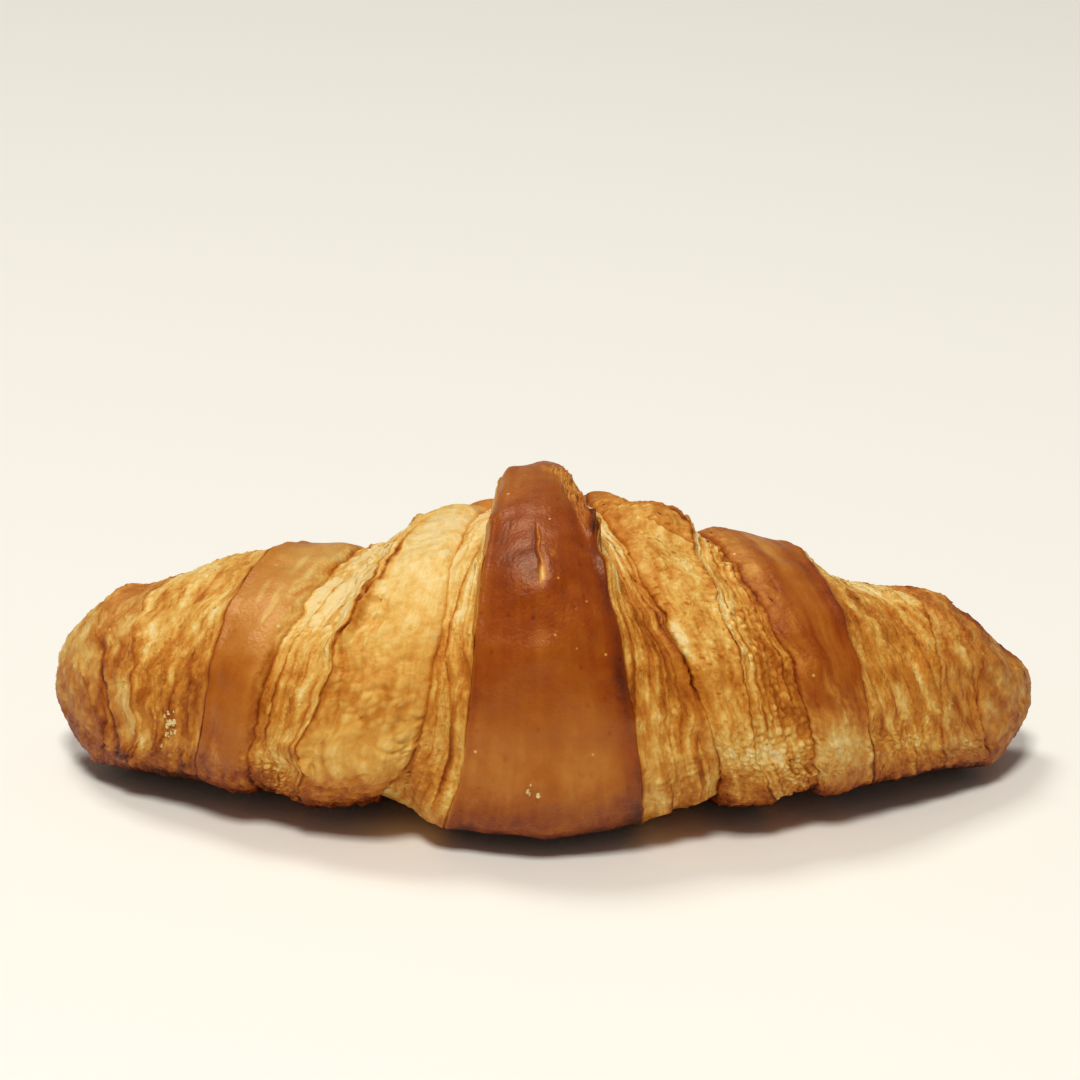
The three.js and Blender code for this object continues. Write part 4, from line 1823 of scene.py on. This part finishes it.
@dataclass(frozen=True)
class Studio:
    """A pale floor, soft light and the camera of the photograph, in millimetres."""

    elevation: float = 20.0
    distance: float = 700.0
    frame_pixels: float = 1080.0
    mm_per_pixel: float = 0.166  # at the aim point
    aim: tuple[float, float, float] = (0.0, 0.0, 22.0)
    aim_pixel: tuple[float, float] = (545.0, 664.0)
    sensor: float = 36.0
    floor_side: float = 6000.0
    floor_gap: float = 0.15
    floor_colour: tuple[float, float, float] = (0.94, 0.915, 0.83)
    floor_roughness: float = 0.7
    floor_clouds: float = 1.04  # how much lighter its pale clouds are
    clouds_in_metre: float = 2.0
    sight: tuple[float, float] = (0.01, 50.0)  # metres from the camera that it sees
    room_colour: tuple[float, float, float] = (1.0, 0.97, 0.93)
    room_light: float = 0.15
    lamps: tuple[Lamp, ...] = (
        Lamp("top softbox", (-140, -1150, 2050), 520, 38.0, shines=False),
        Lamp("back softbox", (-560, 700, 2100), 700, 18.0),
        Lamp("glint lamp", (-180, -120, 1500), 260, 7.0, lights=False),
    )

    def camera(self) -> bpy.types.Object:
        """Sets the camera so that the aim point falls on its pixel.

        Returns:
            The scene's camera.
        """
        focal = self.distance / self.mm_per_pixel
        data = bpy.data.cameras.new("camera")
        data.sensor_width = self.sensor
        data.lens = focal * self.sensor / self.frame_pixels
        data.clip_start, data.clip_end = self.sight
        up = math.radians(self.elevation)
        place = Vector(self.aim) + self.distance * Vector((0, -math.cos(up), math.sin(up)))
        middle = self.frame_pixels / 2
        pitch = math.atan((self.aim_pixel[1] - middle) / focal)
        yaw = math.atan((self.aim_pixel[0] - middle) / focal)
        camera = placed("camera", data)
        camera.location = place * MM
        camera.rotation_euler = (math.pi / 2 - up + pitch, 0.0, yaw)
        bpy.context.scene.camera = camera
        return camera

    def floor(self) -> bpy.types.Object:
        """Lays a plain pale floor.

        Returns:
            The floor, declared as stage.
        """
        side = self.floor_side / 2 * MM
        low = -self.floor_gap * MM
        mesh = bpy.data.meshes.new("floor")
        corners = [(-side, -side, low), (side, -side, low), (side, side, low), (-side, side, low)]
        mesh.from_pydata(corners, [], [(0, 1, 2, 3)])
        floor = placed("floor", mesh)
        material = bpy.data.materials.new("pale floor")
        material.use_nodes = True
        wiring = Wiring(material.node_tree)
        where = wiring.node("ShaderNodeTexCoord", {}).outputs["Object"]
        noise = wiring.node("ShaderNodeTexNoise", {"Scale": self.clouds_in_metre, "Vector": where})
        pale = (*(c * self.floor_clouds for c in self.floor_colour), 1)
        given = {"A": (*self.floor_colour, 1), "B": pale, "Factor": noise.outputs["Fac"]}
        blend = wiring.node("ShaderNodeMix", given, data_type="RGBA")
        wiring.feed(material.node_tree.nodes["Principled BSDF"],
                    {"Roughness": self.floor_roughness, "Base Color": blend.outputs["Result"]})
        mesh.materials.append(material)
        floor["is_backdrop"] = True
        return floor

    def build(self) -> None:
        """Sets up camera, floor, lamps and the room's light."""
        self.camera()
        self.floor()
        for lamp in self.lamps:
            lamp.hang()
        world = bpy.data.worlds.new("room")
        world.use_nodes = True
        back = world.node_tree.nodes["Background"]
        back.inputs["Color"].default_value = (*self.room_colour, 1)
        back.inputs["Strength"].default_value = self.room_light
        bpy.context.scene.world = world
        bpy.context.scene.view_settings.view_transform = "Standard"
        log.info("studio: camera %.0f degrees up at %.0f mm", self.elevation, self.distance)


# The croissant


# The glaze on top and near the tray, and the cut layers, are given by stretch

GLAZES = ((1.0, 0.25), (0.6, 0.4), (1.0, 0.4), (0.5, 0.3), (1.0, 0.3), (0.6, 0.4), (0.6, 0.4), (0.6, 0.4))
# looks by stretch; the foot and low levels of each also paint shade near the tray
LOOKS_RIGHT = (
    Look(1.0, 0.57, 0.73, 0.7, 0.59, 0.66),
    Look(0.52, 0.32, 0.61, 0.35, 0.0, 0.6, inner=-0.24, outer=-0.09, edge=0.4),
    Look(0.89, 0.08, 0.3, 0.24, 0.21, 0.62, inner=0.1, outer=0.07, edge=0.2),
    Look(0.52, 0.09, 0.38, 0.2, 0.15, 0.6, inner=-0.12, outer=0.32, edge=0.4),
    Look(0.91, 0.17, 0.62, 0.64, 0.5, 0.66, inner=0.04, outer=0.1, edge=0.3),
    Look(1.0, 0.24, 0.28, 0.38, 0.09, 0.6, inner=0.02, outer=0.05, edge=0.12),
    Look(0.99, 0.34, 0.5, 0.43, 0.59, 0.62, inner=-0.17, outer=-0.05, edge=0.2),
    Look(0.78, 0.47, 0.41, 0.49, 0.83, 0.62, inner=0.03, edge=0.2),
)
LOOKS_LEFT = (
    LOOKS_RIGHT[0],
    Look(0.3, 0.31, 0.36, 0.07, 0.0, 0.6, inner=0.02, outer=-0.02, edge=0.2),
    Look(0.9, 0.18, 0.26, 0.07, 0.08, 0.62, inner=-0.03, outer=0.07, edge=0.15),
    Look(0.76, 0.28, 0.35, 0.0, 0.0, 0.6, inner=-0.11, outer=0.17, edge=0.3),
    Look(1.0, 0.63, 0.61, 0.4, 0.35, 0.64, inner=-0.12, outer=0.08, edge=0.3),
    Look(0.95, 0.41, 0.47, 0.22, 0.28, 0.6, outer=-0.05, edge=0.2),
    Look(0.94, 0.47, 0.31, 0.36, 0.43, 0.62, inner=-0.01, outer=-0.01, edge=0.2),
    Look(0.8, 0.45, 0.39, 0.15, 0.39, 0.62, inner=0.19, edge=0.2),
)
CUT_LAYERS = {
    0: CutLayers(seed=64, step=(0.6, 0.35), broken=2.6, lean=0.0, scrap=0.8, thread=0.3),
    1: CutLayers(seed=40, spacing=(4.3, 1.3), step=(0.65, 0.2), shade=(0.4, 0.12), sway=(2.6, 0.35),
                 broken=0.55, firm=0.3, lean=0.0, crinkle=0.22, crinkle_shade=0.1, scrap=0.12, bubble=0.16),
    3: CutLayers(seed=40, step=(0.55, 0.18), shade=(0.3, 0.12), broken=0.8, firm=0.2, lean=0.0,
                 bubble=0.34, bubble_shade=0.24),
    4: CutLayers(seed=40),
    5: CutLayers(seed=40, broken=1.1, shade=(0.18, 0.08), stain=0.24, crinkle_shade=0.14),
    6: CutLayers(seed=40, broken=1.1, shade=(0.16, 0.07), stain=0.26, crinkle_shade=0.16),
    7: CutLayers(seed=40, broken=1.1, shade=(0.16, 0.07), stain=0.26, crinkle_shade=0.16),
}
CUT_FACES = {1: {"fade": 0.4, "sag": 0.4}, 3: {"fade": 0.4, "sag": 0.4}, 5: {"fade": 0.8, "sag": 0.25}}
SECOND_WRAP = {
    Half.RIGHT: {
        "open_glaze": 0.3,
        "dough": OpenDough(seed=32, domes_round=(130, 320), dome_width=(1.8, 0.75), dome=(0.2, 0.2),
                           crinkle=0.34, crinkle_shade=0.16, crinkle_width=1.2, crown_shade=0.3),
    },
    Half.LEFT: {
        "open_glaze": 0.65,
        "dough": OpenDough(seed=30, domes_round=(44, 110), dome_width=(3.9, 1.7), dome=(0.75, 0.2),
                           thread=0.05, thread_shade=0.03, crinkle=0.3, crinkle_shade=0.14,
                           crinkle_width=3.1, crown_shade=0.12, valley_shade=0.15, high_domes=0.3),
    },
}
THIRD_WRAP = {
    Half.RIGHT: {"starts": 0.2, "ends_low": 13.0, "fray": 0.34,
                 "skin": WholeSkin(dent=0.22, thread=0.12, thread_shade=0.2)},
    Half.LEFT: {"starts": 0.14, "ends_low": -16.0, "fray": 0.16, "skin": WholeSkin()},
}


@dataclass
class Croissant:
    """The whole croissant: its tongue, its wraps, its two tips and what lies on them."""

    roll: Roll = field(default_factory=Roll)
    names: tuple[str, ...] = (
        "tongue", "first_cut", "second_wrap", "second_cut", "third_wrap", "third_cut", "last_wrap", "tip")
    patches: tuple[Patch, ...] = (
        Patch(0.3, 100, 0.34, 8, worn=1.0),  # the torn top of the tongue
        Patch(0.58, 91, 0.34, 12, worn=1.0),
        Patch(0.82, 83, 0.24, 14, worn=1.0),
        Patch(0.93, 74, 0.1, 6, bake=0.12, worn=1.0),
        Patch(-0.03, 46, 0.035, 3.5, bake=-0.42),
        Patch(0.1, 54, 0.05, 2, bake=-0.16),
        Patch(0.1, 60, 1.2, 32, bake=0.09),
        Patch(1.55, 42, 0.45, 20, bake=0.17),
        Patch(1.15, -12, 0.25, 16, bake=0.14),
        Patch(-1.15, 5, 0.25, 25, bake=0.1),
        Patch(-1.7, -24, 0.35, 14, bake=0.16),
        Patch(2.15, 82, 0.2, 30, bake=0.06),
        Patch(2.75, 100, 0.3, 5, bake=0.16),
        Patch(2.7, 91, 0.2, 5, bake=0.1),
        Patch(2.08, 34, 0.14, 9, bake=-0.26),  # the gap behind the curl
        Patch(2.9, 62, 0.3, 24, bake=-0.06),
        Patch(-2.3, 90, 0.5, 22, bake=-0.06),
        Patch(-2.86, 75, 0.07, 7, bake=0.4),
        Patch(-2.9, 60, 0.05, 6, bake=0.3),
        Patch(-3.9, 66, 0.22, 12, bake=-0.1, worn=0.5),
        Patch(-4.22, 70, 0.07, 13, bake=-0.12, worn=0.7),
        Patch(-4.44, 86, 0.06, 9, bake=-0.12),
        Patch(-4.4, 56, 0.05, 9, bake=-0.14, worn=0.3),
        Patch(-4.62, 64, 0.05, 8, bake=-0.12),
        Patch(1.25, 30, 0.12, 8, bake=-0.16),
        Patch(1.3, 10, 0.1, 9, bake=-0.1),
        Patch(1.2, 58, 0.1, 6, bake=-0.12),
        Patch(0.92, 70, 0.09, 4.0, bake=0.26),  # the knob at the tongue's edge
        Patch(-5.4, 92, 0.5, 20, bake=-0.1),
    )
    creases: tuple[Crease, ...] = (
        Crease(((2.3, 91), (2.6, 85), (2.98, 80)), rim=0.6, groove=0.35, width=0.55, line_shade_and_browning=0.34,
               rim_bake=-0.04, fade=3.0),
        Crease(((-0.13, 65), (-0.09, 60), (-0.11, 56), (-0.04, 51), (-0.03, 45)), rim=0.1, groove=0.4,
               width=0.34, line_shade_and_browning=-0.3, rim_bake=0.08, fade=3.0),
        Crease(((1.9, 66), (1.96, 42), (2.0, 28), (1.95, 16)), rim=0.5, line_shade_and_browning=0.18, rim_bake=0.1),
        Crease(((2.1, 110), (2.45, 106), (2.85, 102), (3.0, 90)), rim=0.5, rim_side=1, line_shade_and_browning=0.4),
        Crease(((-2.8, 98), (-2.86, 82), (-2.88, 66), (-3.0, 46), (-2.96, 38)), rim_side=1, rim=0.5,
               width=0.5, line_shade_and_browning=0.5, rim_bake=0.1, fade=9.0),
        Crease(((-2.92, 60), (-3.0, 46), (-2.9, 28), (-2.8, 12), (-2.75, -20)), rim_side=1, rim=0.35,
               line_shade_and_browning=0.14, fade=12.0),
        Crease(((-6.8, 50), (-6.87, 14), (-6.5, -12), (-6.3, -30)), rim_side=1, width=0.8, line_shade_and_browning=0.42),
        Crease(((-7.2, 40), (-7.1, 10), (-6.9, -25)), rim_side=1, line_shade_and_browning=0.12),
        Crease(((6.9, 30), (7.0, 5), (6.95, -25)), rim_side=-1, line_shade_and_browning=0.25),
    )
    crumb_spots: tuple[tuple[float, float, float], ...] = (
        (-5.47, 5, 0.6), (-5.52, 1, 0.8), (-5.5, -3, 0.7), (-5.55, -7, 0.5), (-0.17, -13, 1.1),
        (-0.22, 36, 0.35), (0.13, 33, 0.3))
    scatters: tuple[Scatter, ...] = (
        Scatter("lifted_scraps", SmallShape("scrap", 1.8, 0.42, 0.08, 0.16, 0.5, 3), TAKE, 0.045, 11,
                (0.5, 1.3), 0.25, -0.05),
        Scatter("fine_flakes", SmallShape("flake", 1.1, 0.4, 0.07, 0.12, 0.6, 8, 5, 3), TAKE, 0.06, 23,
                (0.5, 1.3), 0.7, -0.1),
        Scatter("crumbs", SmallShape("crumb", 0.8, 0.45, 0.22, 0.12, 0.9, 5, 6, 5), DUST, 7.0, 31,
                (0.3, 1.3), 1.2, -0.9),
    )

    REACH = 0.4  # stretches beside a piece whose marks still reach into it
    SEED_STEP = 3  # keeps the layers of the two halves apart

    def stretch(self, half: Half, n: int, look: Look) -> Stretch:
        """Makes one stretch of the roll.

        Args:
            half: which half of the roll.
            n: the stretch, 0 at the middle.
            look: how it is browned.

        Returns:
            The stretch, not built yet.
        """
        inside, outside = n - self.REACH, n + 1 + self.REACH
        given = {
            key: tuple(mark for mark in getattr(self, key) if self._near(mark, half, inside, outside))
            for key in ("patches", "creases")
        }
        name = f"{self.names[n]}_{half.name.lower()}" if n else self.names[n]
        glaze, glaze_low = GLAZES[n]
        look = replace(look, glaze=glaze, glaze_low=glaze_low)
        given |= {"name": name, "roll": self.roll, "half": half, "n": n, "look": look}
        if n == 0:
            return Tongue(slot=Slot.CRUST, layers=CUT_LAYERS[n], lip=0.15, under=-0.16, seam_line=0.0,
                          **given)
        if n == 2:
            return BlisteredBand(slot=Slot.LAYERS, crown=1.3, **SECOND_WRAP[half], **given)
        layers = replace(CUT_LAYERS[n], seed=CUT_LAYERS[n].seed + self.SEED_STEP * half.value)
        if n in CUT_FACES:
            return CutFace(slot=Slot.LAYERS, layers=layers, **CUT_FACES[n], **given)
        if n == 4:
            given |= THIRD_WRAP[half]
            return SkinBand(slot=Slot.CRUST, layers=layers, crown=1.3, under=-0.08, **given)
        return RollTip(slot=Slot.CRUST, layers=layers, **given)

    @staticmethod
    def _near(mark: Patch | Crease, half: Half, inside: float, outside: float) -> bool:
        """Tells whether a patch or a crease reaches into a stretch.

        Args:
            mark: the patch or the crease.
            half: the stretch's half.
            inside: how far in the stretch still takes marks, in stretches.
            outside: how far out it does.

        Returns:
            Whether it does.
        """
        sides = [mark.side] if isinstance(mark, Patch) else [side for side, _ in mark.path]
        middle = inside < 0
        return any((inside < abs(s) < outside) and (middle or s * half.value > 0) for s in sides)

    def surface(self, stretches: list[Stretch]) -> bpy.types.Object:
        """Joins the coarse copies of the stretches into the surface that scraps lie on.

        Args:
            stretches: the built stretches.

        Returns:
            An object for the scatters, to be removed after them.
        """
        points, faces, count = [], [], 0
        values = {key: [] for key in (BAKE, GLAZE, FLOW, LAY, TAKE)}
        for stretch in stretches:
            grid = stretch.laid["co"]
            m, k = grid.shape[:2]
            quads = closed_faces(m, k)[0] + count
            faces.append(quads[:, ::-1] if stretch.half is Half.LEFT else quads)
            points.append(grid.reshape(-1, 3) * MM)
            for key, parts in values.items():
                parts.append(np.reshape(stretch.laid[key], (m * k, -1)))
            count += m * k
        joined = {key: np.concatenate(parts) for key, parts in values.items()}
        joined[DUST] = self.dust(np.concatenate(points) / MM)
        return new_object("scrap surface", np.concatenate(points), (np.concatenate(faces),), joined)

    def dust(self, points: Array) -> Array:
        """Where crumbs lie.

        Args:
            points: the surface's points in mm.

        Returns:
            1 at a crumb spot and 0 beside it, for each point.
        """
        total = np.zeros(len(points))
        for side, degrees, size in self.crumb_spots:
            far = np.linalg.norm(points - self.roll.spot(side, degrees), axis=1)
            total += hump(far, 0, size)
        return total

    def build(self) -> None:
        """Builds and dresses every piece."""
        groups = DoughGroups()
        materials = {
            Slot.CRUST: CRUST_FINISH.material(groups),
            Slot.LAYERS: LAYER_FINISH.material(groups),
        }
        stretches = [self.stretch(Half.RIGHT, n, look) for n, look in enumerate(LOOKS_RIGHT)]
        stretches += [self.stretch(Half.LEFT, n, look) for n, look in enumerate(LOOKS_LEFT) if n]
        for stretch in stretches:
            stretch.dress(stretch.build(), materials[stretch.slot])
        surface, tree = self.surface(stretches), LayingTree()
        for scatter in self.scatters:
            scatter.lay(surface, tree, materials[scatter.slot])
        bpy.data.objects.remove(surface)


def corners(box: tuple) -> list[list[float]]:
    """Turns a box of two corners into plain lists."""
    return [[float(v) for v in corner] for corner in box]


def main() -> None:
    """Builds the studio and the croissant, and works out both boxes."""
    logging.basicConfig(level=logging.INFO, format="%(name)s: %(message)s")
    Studio().build()
    Croissant().build()
    {"cad": corners(CAD_BOX), "visual": corners(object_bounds())}


if __name__ == "__main__":
    main()
